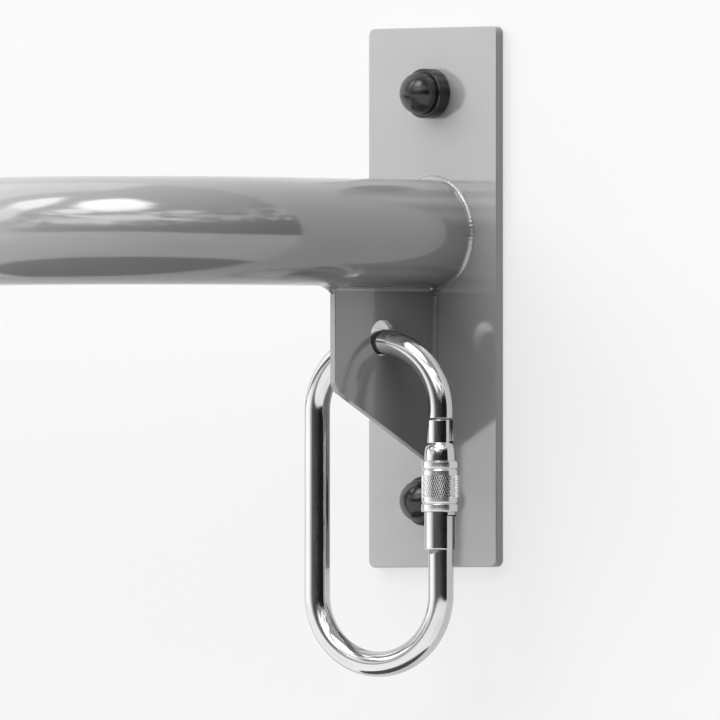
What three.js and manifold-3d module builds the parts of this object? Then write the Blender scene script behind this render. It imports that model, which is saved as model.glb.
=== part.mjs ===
// Wall-mounted pull-up bar: one bent steel tube welded to two wall plates, a gusset under each end,
// and an oval screw-gate carabiner hanging in each gusset. Millimetres, +Z up, the wall is the plane
// y = 0 and the bar stands out towards -Y. The origin is midway between the plates, at tube height.
import * as THREE from "three";
import { mergeVertices } from "three/addons/utils/BufferGeometryUtils.js";
import Module from "manifold-3d";

// Bar tube
const PLATE_SPACING = 1000;
const TUBE_DIAMETER = 42.4;
const TUBE_WALL = 2.6;
const TUBE_BEND_RADIUS = 80;
const TUBE_STUB_LENGTH = 80;
const TUBE_WELD_LEG = 1.8;

// Wall plate
const PLATE_WIDTH = 70;
const PLATE_THICKNESS = 4;
const PLATE_CORNER_RADIUS = 3;
const PLATE_EDGE_BEVEL = 0.5;
const PLATE_END_DISTANCE = 26;

// Gusset
const GUSSET_THICKNESS = 3;
const GUSSET_DEPTH = 56;
const GUSSET_FRONT_HEIGHT = 41.1;
const GUSSET_BACK_HEIGHT = 69.8;
const GUSSET_CORNER_CUT = 3;
const GUSSET_NOSE_CUT = 1.5;
const GUSSET_WELD_LEG = 2.2;
const GUSSET_HOLE_SETBACK = 29.2;
const GUSSET_HOLE_DROP = 20;

// Wall anchors, nuts and caps
const STUD_DIAMETER = 8;
const STUD_EMBEDMENT = 58;
const STUD_PROUD = 2.5;
const STUD_CHAMFER = 0.8;
const STUD_NECK_DEPTH = 1;
const STUD_CONE_LENGTH = 5;
const CLIP_LENGTH = 9;
const CLIP_SLIT = 2.2;
const WASHER_THICKNESS = 1.6;
const WASHER_RIM = 0.5;
const NUT_ACROSS_FLATS = 13;
const NUT_HEIGHT = 6.5;
const HOLE_PLAY = 0.5;
const CAP_WALL = 0.6;
const CAP_BASE_WALL = 1.45;
const CAP_LEDGE_DROP = 0.6;
const CAP_LEDGE_CHAMFER = 0.55;
const CAP_DOME_SINK = 1.6;
const UPPER_CAP_GAP = 24.05;
const LOWER_CAP_GAP = 4.25;

// Carabiner body
const ROD_DIAMETER = 10;
const ROD_HOLE_PLAY = 2;
const LOOP_INNER_WIDTH = 44.8;
const LOOP_SHIFT = 0.6;
const NOSE_STRAIGHT = 2.7;
const NOSE_THICKNESS = 3.1;
const NOSE_TAPER = 1.6;
const NOSE_LIP_REACH = 2.4;
const NOSE_LIP_HEIGHT = 2.4;
const FOOT_STRAIGHT = 17.4;
const TONGUE_THICKNESS = 7;
const TONGUE_RISE = 6.9;
const TONGUE_GROOVE_WIDTH = 2.8;
const TONGUE_GROOVE_FLOOR = 3.9;

// Gate
const GATE_SET_BACK = 0.3;
const GATE_TOP_GAP = 0.6;
const FORK_EXTRA = 0.4;
const LATCH_PIN_DIAMETER = 3;
const LATCH_PIN_DROP = 3.6;
const LATCH_PLAY = 0.4;
const FORK_FLOOR_GAP = 1.3;
const BARREL_EXTRA = 0.9;
const BARREL_CHAMFER = 0.5;
const BARREL_SHOULDER_LENGTH = 6.9;
const SLOT_ROOF = 1.2;
const TONGUE_TOP_GAP = 0.4;
const HINGE_PIN_DIAMETER = 4;
const HINGE_SKIRT = 6.3;
const SPRING_BORE_DIAMETER = 4.8;
const SPRING_BORE_DEPTH = 19.3;

// Screw sleeve
const SLEEVE_LENGTH = 20;
const SLEEVE_WALL = 1;
const SLEEVE_RING_LENGTH = 3.1;
const SLEEVE_GROOVE_DEPTH = 0.5;
const SLEEVE_GROOVE_HALF = 0.5;
const SLEEVE_EDGE = 0.6;

// Gate spring and plunger
const SPRING_WIRE = 0.6;
const SPRING_CURLS = 9;
const SPRING_LENGTH = 14.2;
const PLUNGER_STEM_DIAMETER = 2;
const PLUNGER_TIP_CHAMFER = 0.4;

// Clearances: between pieces that meet, between the rod and its hole, between pieces that slide,
// and the overrun of every cut
const SEAT_GAP = 0.3;
const HANG_GAP = 0.5;
const SLIDE_GAP = 0.2;
const OVERRUN = 1;
const MERGE_DISTANCE = 0.0001;

// Angle of the hanging carabiner about the vertical, and the counts that set the facets
const CARABINER_YAW = THREE.MathUtils.degToRad(16.4);
const QUARTER_TURN = Math.PI / 2;
const FULL_TURN = 2 * Math.PI;
const TUBE_SIDES = 24;
const TUBE_BEND_STEPS = 8;
const ROD_SIDES = 16;
const ROD_BEND_STEPS = 14;
const ROUND_SIDES = 20;
const PIN_SIDES = 12;
const DOME_STEPS = 4;
const CORNER_STEPS = 3;
const CURL_STEPS = 8;
const WIRE_SIDES = 5;

// Sizes that follow from the driving ones
const TUBE_RADIUS = TUBE_DIAMETER / 2;
const ROD_RADIUS = ROD_DIAMETER / 2;
const STUD_RADIUS = STUD_DIAMETER / 2;
const NUT_CORNER_RADIUS = NUT_ACROSS_FLATS / Math.sqrt(3);
const WASHER_RADIUS = NUT_CORNER_RADIUS + WASHER_RIM;
const CAP_RADIUS = WASHER_RADIUS + SEAT_GAP + CAP_BASE_WALL;
const DOME_RADIUS = NUT_CORNER_RADIUS + SEAT_GAP + CAP_WALL;
const UPPER_BOLT_HEIGHT = TUBE_RADIUS + UPPER_CAP_GAP + CAP_RADIUS;
const LOWER_BOLT_HEIGHT = -TUBE_RADIUS - GUSSET_BACK_HEIGHT - LOWER_CAP_GAP - CAP_RADIUS;
const HOLE_RADIUS = ROD_RADIUS + ROD_HOLE_PLAY;
const LOOP_RADIUS = LOOP_INNER_WIDTH / 2 + ROD_RADIUS;
const FORK_RADIUS = ROD_RADIUS + FORK_EXTRA;
const BARREL_RADIUS = FORK_RADIUS + BARREL_EXTRA;
const SLEEVE_BORE_RADIUS = BARREL_RADIUS + SLIDE_GAP;
const SLEEVE_RADIUS = SLEEVE_BORE_RADIUS + SLEEVE_WALL;
const NOTCH_RADIUS = LATCH_PIN_DIAMETER / 2 + LATCH_PLAY;

// Heights in the carabiner, counted down from the centre line of its top bend
const TOP_CENTRE = -LOOP_RADIUS;
const NOSE_END = TOP_CENTRE - NOSE_STRAIGHT;
const GATE_TOP = NOSE_END - GATE_TOP_GAP;
const LATCH_HEIGHT = GATE_TOP - LATCH_PIN_DROP;
const LIP_END = LATCH_HEIGHT - NOTCH_RADIUS - NOSE_LIP_HEIGHT;
const SHOULDER = LIP_END - FORK_FLOOR_GAP;
const SLEEVE_TOP = SHOULDER - BARREL_SHOULDER_LENGTH;
const SLEEVE_BOTTOM = SLEEVE_TOP - SLEEVE_LENGTH;
const SLOT_FLOOR = SLEEVE_BOTTOM - SLOT_ROOF;
const TONGUE_TOP = SLOT_FLOOR - TONGUE_TOP_GAP;
const HINGE_HEIGHT = TONGUE_TOP - TONGUE_RISE;
const BARREL_BOTTOM = HINGE_HEIGHT - HINGE_SKIRT;
const BOTTOM_CENTRE = BARREL_BOTTOM - FOOT_STRAIGHT;

const wasm = await Module();
wasm.setup();

// Materials
const coatedSteel = () => new THREE.MeshStandardMaterial({ color: 0x9fa1a3, roughness: 0.35, metalness: 0.6 });
const weldSteel = () => new THREE.MeshStandardMaterial({ color: 0xa6a8aa, roughness: 0.4, metalness: 0.6 });
const polishedSteel = () => new THREE.MeshStandardMaterial({ color: 0xd6d8d8, roughness: 0.12, metalness: 1 });
const zincSteel = () => new THREE.MeshStandardMaterial({ color: 0xb9bcbc, roughness: 0.35, metalness: 0.9 });
const springSteel = () => new THREE.MeshStandardMaterial({ color: 0x8d8f90, roughness: 0.3, metalness: 0.9 });
const blackPlastic = () => new THREE.MeshStandardMaterial({ color: 0x141414, roughness: 0.3, metalness: 0 });

// A path kept as stations, so that its straight runs cost one step each
class Route extends THREE.Curve {
  constructor(start, direction) {
    super();
    this.stations = [{ point: start.clone(), tangent: direction.clone() }];
  }

  get last() {
    return this.stations[this.stations.length - 1];
  }

  get steps() {
    return this.stations.length - 1;
  }

  forward(length) {
    const { point, tangent } = this.last;
    this.stations.push({ point: point.clone().addScaledVector(tangent, length), tangent: tangent.clone() });
    return this;
  }

  turn(radius, angle, axis, steps) {
    const { point, tangent } = this.last;
    const inward = new THREE.Vector3().crossVectors(axis, tangent);
    const centre = point.clone().addScaledVector(inward, radius);
    for (let step = 1; step <= steps; step += 1) {
      const swept = (angle * step) / steps;
      const arm = point.clone().sub(centre).applyAxisAngle(axis, swept);
      const heading = tangent.clone().applyAxisAngle(axis, swept);
      this.stations.push({ point: arm.add(centre), tangent: heading });
    }
    return this;
  }

  getUtoTmapping(u) {
    return u;
  }

  getPoint(t, target = new THREE.Vector3()) {
    const place = t * this.steps;
    const index = Math.min(Math.floor(place), this.steps - 1);
    return target.lerpVectors(this.stations[index].point, this.stations[index + 1].point, place - index);
  }

  getTangent(t, target = new THREE.Vector3()) {
    return target.copy(this.stations[Math.round(t * this.steps)].tangent);
  }
}

// The wire's centre line: a helix about the Z axis that climbs from zero
class Helix extends THREE.Curve {
  constructor(radius, height, turns) {
    super();
    Object.assign(this, { radius, height, turns });
  }

  getPoint(t, target = new THREE.Vector3()) {
    const angle = FULL_TURN * this.turns * t;
    return target.set(this.radius * Math.cos(angle), this.radius * Math.sin(angle), this.height * t);
  }
}

function ringPoints(radius, sides) {
  return Array.from({ length: sides }, (_, index) => {
    const angle = (FULL_TURN * index) / sides;
    return new THREE.Vector2(radius * Math.cos(angle), radius * Math.sin(angle));
  });
}

function arcPoints(x, y, radius, from, to, steps) {
  return Array.from({ length: steps + 1 }, (_, index) => {
    const angle = from + ((to - from) * index) / steps;
    return new THREE.Vector2(x + radius * Math.cos(angle), y + radius * Math.sin(angle));
  });
}

function movedPoints(points, x, y) {
  return points.map((point) => new THREE.Vector2(point.x + x, point.y + y));
}

function points(...pairs) {
  return pairs.map(([x, y]) => new THREE.Vector2(x, y));
}

// Closed solid from any closed geometry, with its faces turned outwards
function solidOf(geometry) {
  const bare = geometry.clone();
  bare.deleteAttribute("normal");
  bare.deleteAttribute("uv");
  const merged = mergeVertices(bare, MERGE_DISTANCE);
  const vertProperties = merged.attributes.position.array;
  const triVerts = new Uint32Array(merged.index.array);
  const solid = new wasm.Manifold(new wasm.Mesh({ numProp: 3, vertProperties, triVerts }));
  if (solid.volume() > 0) {
    return solid;
  }
  const turned = triVerts.slice();
  for (let index = 0; index < turned.length; index += 3) {
    turned[index] = triVerts[index + 1];
    turned[index + 1] = triVerts[index];
  }
  return new wasm.Manifold(new wasm.Mesh({ numProp: 3, vertProperties, triVerts: turned }));
}

function meshOf(name, solid, material) {
  const { numProp, vertProperties, triVerts } = solid.getMesh();
  const geometry = new THREE.BufferGeometry();
  const shared = new THREE.InterleavedBuffer(vertProperties, numProp);
  geometry.setAttribute("position", new THREE.InterleavedBufferAttribute(shared, 3, 0));
  geometry.setIndex(new THREE.BufferAttribute(triVerts, 1));
  const faceted = geometry.toNonIndexed();
  faceted.computeVertexNormals();
  const mesh = new THREE.Mesh(faceted, material);
  mesh.name = name;
  return mesh;
}

// An outline in the XY plane, extruded along +Z
function extruded(outline, depth, holes = [], bevel = 0) {
  const shape = new THREE.Shape(outline);
  shape.holes = holes.map((hole) => new THREE.Path(hole));
  return new THREE.ExtrudeGeometry(shape, {
    depth: depth - 2 * bevel,
    bevelEnabled: bevel > 0,
    bevelThickness: bevel,
    bevelSize: bevel,
    bevelOffset: -bevel,
    bevelSegments: 1,
    steps: 1,
  }).translate(0, 0, bevel);
}

function swept(outline, path, steps, holes = []) {
  const shape = new THREE.Shape(outline);
  shape.holes = holes.map((hole) => new THREE.Path(hole));
  return new THREE.ExtrudeGeometry(shape, { steps, extrudePath: path });
}

// A profile of radius and height, turned about the Z axis
function turnedUp(profile, sides) {
  return new THREE.LatheGeometry(profile, sides).rotateX(QUARTER_TURN);
}

// A profile of radius and height, turned about the Y axis and standing out from the wall
function turnedOut(profile, sides) {
  return new THREE.LatheGeometry(profile, sides).rotateX(Math.PI);
}

function ringProfile(inner, outer, low, high) {
  return points([inner, low], [outer, low], [outer, high], [inner, high], [inner, low]);
}

function rodProfile(radius, low, high) {
  return points([0, low], [radius, low], [radius, high], [0, high]);
}

// A block centred in X and Y that stands between two heights
function block(width, depth, low, high) {
  return new THREE.BoxGeometry(width, depth, high - low).translate(0, 0, (low + high) / 2);
}

// Bar tube: stub, bend, run, bend and stub, open at both ends
function barTube() {
  const half = PLATE_SPACING / 2;
  const bendAxis = new THREE.Vector3(0, 0, -1);
  const path = new Route(new THREE.Vector3(half, -PLATE_THICKNESS, 0), new THREE.Vector3(0, -1, 0))
    .forward(TUBE_STUB_LENGTH)
    .turn(TUBE_BEND_RADIUS, QUARTER_TURN, bendAxis, TUBE_BEND_STEPS)
    .forward(PLATE_SPACING - 2 * TUBE_BEND_RADIUS)
    .turn(TUBE_BEND_RADIUS, QUARTER_TURN, bendAxis, TUBE_BEND_STEPS)
    .forward(TUBE_STUB_LENGTH);
  const outside = ringPoints(TUBE_RADIUS, TUBE_SIDES);
  const bore = ringPoints(TUBE_RADIUS - TUBE_WALL, TUBE_SIDES);
  return solidOf(swept(outside, path, path.steps, [bore]));
}

// Wall plate with rounded corners and two bolt holes, its back on the wall
function wallPlate() {
  const top = UPPER_BOLT_HEIGHT + PLATE_END_DISTANCE;
  const bottom = LOWER_BOLT_HEIGHT - PLATE_END_DISTANCE;
  const right = PLATE_WIDTH / 2 - PLATE_CORNER_RADIUS;
  const high = top - PLATE_CORNER_RADIUS;
  const low = bottom + PLATE_CORNER_RADIUS;
  const corners = [
    [right, high, 0],
    [-right, high, 1],
    [-right, low, 2],
    [right, low, 3],
  ];
  const outline = corners.flatMap(([x, y, quarter]) =>
    arcPoints(x, y, PLATE_CORNER_RADIUS, quarter * QUARTER_TURN, (quarter + 1) * QUARTER_TURN, CORNER_STEPS),
  );
  const plate = solidOf(extruded(outline, PLATE_THICKNESS, [], PLATE_EDGE_BEVEL).rotateX(QUARTER_TURN));
  const drill = rodProfile(STUD_RADIUS + HOLE_PLAY, -OVERRUN, PLATE_THICKNESS + OVERRUN);
  return [UPPER_BOLT_HEIGHT, LOWER_BOLT_HEIGHT].reduce(
    (solid, height) => solid.subtract(solidOf(turnedOut(drill, ROUND_SIDES).translate(0, 0, height))),
    plate,
  );
}

// Outline in the gusset's plane, of distance out from the plate and height, put into place
function gussetSlab(outline, thickness) {
  return extruded(outline, thickness)
    .rotateX(QUARTER_TURN)
    .rotateZ(-QUARTER_TURN)
    .translate(thickness / 2, -PLATE_THICKNESS, 0);
}

// Gusset: a triangular web under the tube with a hole that the carabiner hangs in
function gusset() {
  const top = -TUBE_RADIUS;
  const outline = points(
    [GUSSET_CORNER_CUT, top],
    [GUSSET_DEPTH, top],
    [GUSSET_DEPTH, top - GUSSET_FRONT_HEIGHT + GUSSET_NOSE_CUT],
    [GUSSET_DEPTH - GUSSET_NOSE_CUT, top - GUSSET_FRONT_HEIGHT],
    [0, top - GUSSET_BACK_HEIGHT],
    [0, top - GUSSET_CORNER_CUT],
  );
  const hole = movedPoints(ringPoints(HOLE_RADIUS, TUBE_SIDES), GUSSET_HOLE_SETBACK, top - GUSSET_HOLE_DROP);
  const drill = gussetSlab(hole, GUSSET_THICKNESS + 2 * OVERRUN);
  return solidOf(gussetSlab(outline, GUSSET_THICKNESS)).subtract(solidOf(drill));
}

// Fillet bead all round the tube on the plate
function tubeWeld() {
  const inner = TUBE_RADIUS + SEAT_GAP;
  const outer = TUBE_RADIUS + TUBE_WELD_LEG;
  const bulge = TUBE_WELD_LEG * 0.6;
  const profile = points([inner, 0], [outer, 0], [TUBE_RADIUS + bulge, bulge], [inner, TUBE_WELD_LEG], [inner, 0]);
  return solidOf(turnedOut(profile, TUBE_SIDES).translate(0, -PLATE_THICKNESS, 0));
}

// Fillet beads along both sides of the gusset on the plate, joined round its foot
function gussetPlateWeld() {
  const half = GUSSET_THICKNESS / 2;
  const foot = -TUBE_RADIUS - GUSSET_BACK_HEIGHT;
  const head = -TUBE_RADIUS - GUSSET_CORNER_CUT;
  const section = points([-half - GUSSET_WELD_LEG, 0], [half + GUSSET_WELD_LEG, 0], [half, GUSSET_WELD_LEG], [
    -half,
    GUSSET_WELD_LEG,
  ]);
  const bead = extruded(section, head - foot + GUSSET_WELD_LEG)
    .rotateX(Math.PI)
    .translate(0, -PLATE_THICKNESS, head);
  const slot = block(GUSSET_THICKNESS + 2 * SEAT_GAP, PLATE_WIDTH, foot - SEAT_GAP, head + OVERRUN);
  return solidOf(bead).subtract(solidOf(slot));
}

// Fillet beads along both sides of the gusset under the tube, joined round its front edge
function gussetTubeWeld() {
  const half = GUSSET_THICKNESS / 2;
  const section = points(
    [-half - GUSSET_WELD_LEG, 0],
    [-half, -GUSSET_WELD_LEG],
    [half, -GUSSET_WELD_LEG],
    [half + GUSSET_WELD_LEG, 0],
    [half + GUSSET_WELD_LEG, GUSSET_WELD_LEG],
    [-half - GUSSET_WELD_LEG, GUSSET_WELD_LEG],
  );
  const length = GUSSET_DEPTH - GUSSET_CORNER_CUT + GUSSET_WELD_LEG;
  const bead = extruded(section, length)
    .rotateX(QUARTER_TURN)
    .translate(0, -PLATE_THICKNESS - GUSSET_CORNER_CUT, -TUBE_RADIUS);
  const slotLength = GUSSET_DEPTH - GUSSET_CORNER_CUT + SEAT_GAP + OVERRUN;
  const slot = new THREE.BoxGeometry(GUSSET_THICKNESS + 2 * SEAT_GAP, slotLength, TUBE_RADIUS).translate(
    0,
    slotLength / 2 - PLATE_THICKNESS - GUSSET_DEPTH - SEAT_GAP,
    -TUBE_RADIUS,
  );
  const tube = rodProfile(TUBE_RADIUS + SEAT_GAP, 0, TUBE_STUB_LENGTH);
  return solidOf(bead)
    .subtract(solidOf(slot))
    .subtract(solidOf(turnedOut(tube, TUBE_SIDES).translate(0, -PLATE_THICKNESS, 0)));
}

// Wedge anchor stud: thread through the plate, a neck for the clip and a cone at the wall end
function anchorStud() {
  const neck = STUD_RADIUS - STUD_NECK_DEPTH;
  const front = PLATE_THICKNESS + WASHER_THICKNESS + NUT_HEIGHT + STUD_PROUD;
  const coneEnd = -STUD_EMBEDMENT;
  const coneStart = coneEnd + STUD_CONE_LENGTH;
  const neckStart = coneStart + CLIP_LENGTH;
  const profile = points(
    [0, coneEnd],
    [STUD_RADIUS, coneEnd],
    [neck, coneStart],
    [neck, neckStart],
    [STUD_RADIUS, neckStart + STUD_NECK_DEPTH],
    [STUD_RADIUS, front - STUD_CHAMFER],
    [STUD_RADIUS - STUD_CHAMFER, front],
    [0, front],
  );
  return solidOf(turnedOut(profile, ROUND_SIDES));
}

// Expansion clip: a split sleeve round the neck of the stud
function expansionClip() {
  const inner = STUD_RADIUS - STUD_NECK_DEPTH + SLIDE_GAP;
  const middle = (inner + STUD_RADIUS) / 2;
  const halfSlit = CLIP_SLIT / (2 * middle);
  const outline = [
    ...arcPoints(0, 0, STUD_RADIUS, halfSlit, FULL_TURN - halfSlit, ROUND_SIDES),
    ...arcPoints(0, 0, inner, FULL_TURN - halfSlit, halfSlit, ROUND_SIDES),
  ];
  const length = CLIP_LENGTH - 2 * SEAT_GAP;
  const start = STUD_EMBEDMENT - STUD_CONE_LENGTH - SEAT_GAP;
  return solidOf(extruded(outline, length).rotateX(QUARTER_TURN).translate(0, start, 0));
}

function washer() {
  const bore = STUD_RADIUS + SEAT_GAP;
  const low = PLATE_THICKNESS;
  return solidOf(turnedOut(ringProfile(bore, WASHER_RADIUS, low, low + WASHER_THICKNESS), ROUND_SIDES));
}

// Hexagonal prism standing out from the wall, with a corner towards +X
function hexagonOut(cornerRadius, low, high) {
  return extruded(ringPoints(cornerRadius, 6), high - low)
    .rotateX(QUARTER_TURN)
    .translate(0, -low, 0);
}

function hexNut() {
  const low = PLATE_THICKNESS + WASHER_THICKNESS;
  const high = low + NUT_HEIGHT;
  const bore = rodProfile(STUD_RADIUS + SEAT_GAP, low - OVERRUN, high + OVERRUN);
  return solidOf(hexagonOut(NUT_CORNER_RADIUS, low, high)).subtract(solidOf(turnedOut(bore, ROUND_SIDES)));
}

// Domed cap over the nut: a base ring with a small ledge, a dome, and a pocket for washer, nut and stud
function nutCap() {
  const low = PLATE_THICKNESS;
  const washerEnd = low + WASHER_THICKNESS + SEAT_GAP;
  const nutEnd = low + WASHER_THICKNESS + NUT_HEIGHT + SEAT_GAP;
  const studEnd = nutEnd + STUD_PROUD;
  const centre = low + WASHER_THICKNESS + NUT_HEIGHT - CAP_DOME_SINK;
  const ledge = centre - CAP_LEDGE_DROP;
  const profile = [
    ...points(
      [0, low],
      [CAP_RADIUS, low],
      [CAP_RADIUS, ledge - CAP_LEDGE_CHAMFER],
      [CAP_RADIUS - CAP_LEDGE_CHAMFER, ledge],
      [DOME_RADIUS, ledge],
    ),
    ...arcPoints(0, centre, DOME_RADIUS, 0, QUARTER_TURN, DOME_STEPS).slice(0, DOME_STEPS),
    ...points([0, centre + DOME_RADIUS]),
  ];
  const washerPocket = rodProfile(WASHER_RADIUS + SEAT_GAP, low - OVERRUN, washerEnd);
  const studPocket = rodProfile(STUD_RADIUS + SEAT_GAP, nutEnd - OVERRUN, studEnd);
  const nutPocket = hexagonOut(NUT_CORNER_RADIUS + SEAT_GAP, low, nutEnd);
  return solidOf(turnedOut(profile, ROUND_SIDES))
    .subtract(solidOf(turnedOut(washerPocket, ROUND_SIDES)))
    .subtract(solidOf(nutPocket))
    .subtract(solidOf(turnedOut(studPocket, ROUND_SIDES)));
}

// Outline of the carabiner's own plane, of distance from the loop's middle and height, made thick
function loopSlab(outline, thickness) {
  return extruded(outline, thickness)
    .rotateX(QUARTER_TURN)
    .translate(0, thickness / 2, 0);
}

function crossDrill(diameter, x, height) {
  const outline = movedPoints(ringPoints(diameter / 2, PIN_SIDES), x, height);
  return solidOf(loopSlab(outline, 2 * BARREL_RADIUS + 2 * OVERRUN));
}

const GATE_SIDE = LOOP_RADIUS - LOOP_SHIFT;
const GATE_AXIS = GATE_SIDE - GATE_SET_BACK;
const SPINE_SIDE = -LOOP_RADIUS - LOOP_SHIFT;

// Hooked nose that goes into the gate's fork and catches the latch pin
function noseHook() {
  const inner = GATE_AXIS - NOSE_LIP_REACH;
  const outer = GATE_SIDE + ROD_RADIUS;
  const notch = arcPoints(GATE_AXIS, LATCH_HEIGHT, NOTCH_RADIUS, QUARTER_TURN, -QUARTER_TURN, DOME_STEPS);
  const outline = [
    ...points([inner, NOSE_END + OVERRUN], [inner, LATCH_HEIGHT + NOTCH_RADIUS]),
    ...notch,
    ...points(
      [inner, LATCH_HEIGHT - NOTCH_RADIUS],
      [inner, LIP_END],
      [outer - NOSE_TAPER, LIP_END],
      [outer, NOSE_END],
      [outer, NOSE_END + OVERRUN],
    ),
  ];
  const stock = rodProfile(ROD_RADIUS, LIP_END - OVERRUN, NOSE_END + 2 * OVERRUN);
  const round = solidOf(turnedUp(stock, ROD_SIDES).translate(GATE_SIDE, 0, 0));
  return solidOf(loopSlab(outline, NOSE_THICKNESS)).intersect(round);
}

// Carabiner body: one round rod bent to an oval, from the nose over the spine to the hinge tongue
function carabinerBody() {
  const bendAxis = new THREE.Vector3(0, -1, 0);
  const path = new Route(new THREE.Vector3(GATE_SIDE, 0, NOSE_END), new THREE.Vector3(0, 0, 1))
    .forward(NOSE_STRAIGHT)
    .turn(LOOP_RADIUS, Math.PI, bendAxis, ROD_BEND_STEPS)
    .forward(TOP_CENTRE - BOTTOM_CENTRE)
    .turn(LOOP_RADIUS, Math.PI, bendAxis, ROD_BEND_STEPS)
    .forward(TONGUE_TOP - BOTTOM_CENTRE);
  const rod = solidOf(swept(ringPoints(ROD_RADIUS, ROD_SIDES), path, path.steps));

  // The flats of the tongue run down past the reach of the gate's cheeks
  const slotHalf = TONGUE_THICKNESS / 2 + SLIDE_GAP;
  const cheekReach = Math.sqrt(BARREL_RADIUS ** 2 - slotHalf ** 2);
  const flatRadius = Math.hypot(cheekReach, HINGE_SKIRT) + SEAT_GAP;
  const flatTop = TONGUE_TOP + OVERRUN;
  const sideCut = 2 * flatRadius;
  const flatOutline = [
    ...arcPoints(GATE_AXIS, HINGE_HEIGHT, flatRadius, Math.PI, FULL_TURN, ROUND_SIDES),
    ...points([GATE_AXIS + flatRadius, flatTop], [GATE_AXIS - flatRadius, flatTop]),
  ];
  const flats = solidOf(loopSlab(flatOutline, sideCut)).subtract(
    solidOf(loopSlab(flatOutline, TONGUE_THICKNESS)),
  );

  // The inner top corner of the tongue is rounded about the hinge, so the gate's slot clears it
  const innerEdge = GATE_AXIS - flatRadius;
  const corner = [
    ...arcPoints(GATE_AXIS, HINGE_HEIGHT, TONGUE_RISE, QUARTER_TURN, Math.PI, DOME_STEPS),
    ...points([innerEdge, HINGE_HEIGHT], [innerEdge, flatTop], [GATE_AXIS, flatTop]),
  ];
  const groove = block(2 * flatRadius, TONGUE_GROOVE_WIDTH, HINGE_HEIGHT + TONGUE_GROOVE_FLOOR, flatTop);
  return rod
    .add(noseHook())
    .subtract(flats)
    .subtract(solidOf(loopSlab(corner, sideCut)))
    .subtract(solidOf(groove.translate(GATE_AXIS, 0, 0)))
    .subtract(crossDrill(HINGE_PIN_DIAMETER + 2 * SLIDE_GAP, GATE_AXIS, HINGE_HEIGHT));
}

// Outside of the gate: a slim fork at the top, a shoulder and the barrel below it
function gateStock() {
  const profile = points(
    [0, BARREL_BOTTOM],
    [BARREL_RADIUS - BARREL_CHAMFER / 2, BARREL_BOTTOM],
    [BARREL_RADIUS, BARREL_BOTTOM + BARREL_CHAMFER / 2],
    [BARREL_RADIUS, SHOULDER - BARREL_CHAMFER],
    [BARREL_RADIUS - BARREL_CHAMFER, SHOULDER],
    [FORK_RADIUS, SHOULDER],
    [FORK_RADIUS, GATE_TOP],
    [0, GATE_TOP],
  );
  return solidOf(turnedUp(profile, ROUND_SIDES).translate(GATE_AXIS, 0, 0));
}

function gate() {
  const width = 2 * BARREL_RADIUS + 2 * OVERRUN;
  const forkSlot = block(width, NOSE_THICKNESS + 2 * SLIDE_GAP, SHOULDER, GATE_TOP + OVERRUN);
  const hingeSlot = block(width, TONGUE_THICKNESS + 2 * SLIDE_GAP, BARREL_BOTTOM - OVERRUN, SLOT_FLOOR);
  const bore = rodProfile(SPRING_BORE_DIAMETER / 2, SLOT_FLOOR - OVERRUN, SLOT_FLOOR + SPRING_BORE_DEPTH);
  return gateStock()
    .subtract(solidOf(forkSlot.translate(GATE_AXIS, 0, 0)))
    .subtract(solidOf(hingeSlot.translate(GATE_AXIS, 0, 0)))
    .subtract(solidOf(turnedUp(bore, PIN_SIDES).translate(GATE_AXIS, 0, 0)))
    .subtract(crossDrill(HINGE_PIN_DIAMETER + 2 * SLIDE_GAP, GATE_AXIS, HINGE_HEIGHT))
    .subtract(crossDrill(LATCH_PIN_DIAMETER + 2 * SLIDE_GAP, GATE_AXIS, LATCH_HEIGHT));
}

// Cross pins are finished flush with the gate's round outside
function crossPin(diameter, height) {
  return crossDrill(diameter, GATE_AXIS, height).intersect(gateStock());
}

// Screw sleeve: two end rings, a groove inside each and a grip between them
function screwSleeve() {
  const bore = SLEEVE_BORE_RADIUS;
  const rim = SLEEVE_RADIUS - SLEEVE_EDGE;
  const grooveFloor = SLEEVE_RADIUS - SLEEVE_GROOVE_DEPTH;
  const lowGroove = SLEEVE_BOTTOM + SLEEVE_RING_LENGTH;
  const highGroove = SLEEVE_TOP - SLEEVE_RING_LENGTH;
  const profile = points(
    [bore, SLEEVE_BOTTOM],
    [rim, SLEEVE_BOTTOM],
    [SLEEVE_RADIUS, SLEEVE_BOTTOM + SLEEVE_EDGE],
    [SLEEVE_RADIUS, lowGroove - SLEEVE_GROOVE_HALF],
    [grooveFloor, lowGroove],
    [SLEEVE_RADIUS, lowGroove + SLEEVE_GROOVE_HALF],
    [SLEEVE_RADIUS, highGroove - SLEEVE_GROOVE_HALF],
    [grooveFloor, highGroove],
    [SLEEVE_RADIUS, highGroove + SLEEVE_GROOVE_HALF],
    [SLEEVE_RADIUS, SLEEVE_TOP - SLEEVE_EDGE],
    [rim, SLEEVE_TOP],
    [bore, SLEEVE_TOP],
    [bore, SLEEVE_BOTTOM],
  );
  return solidOf(turnedUp(profile, ROUND_SIDES).translate(GATE_AXIS, 0, 0));
}

// Spring in the gate's bore, its top end under the bore's end
const SPRING_TOP = SLOT_FLOOR + SPRING_BORE_DEPTH - SEAT_GAP;
const SPRING_BOTTOM = SPRING_TOP - SPRING_LENGTH;

function gateSpring() {
  const radius = SPRING_BORE_DIAMETER / 2 - SEAT_GAP - SPRING_WIRE / 2;
  const climb = SPRING_LENGTH - SPRING_WIRE;
  const wire = ringPoints(SPRING_WIRE / 2, WIRE_SIDES);
  const helix = new Helix(radius, climb, SPRING_CURLS);
  const steps = SPRING_CURLS * CURL_STEPS;
  return solidOf(swept(wire, helix, steps).translate(GATE_AXIS, 0, SPRING_BOTTOM + SPRING_WIRE / 2));
}

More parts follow.
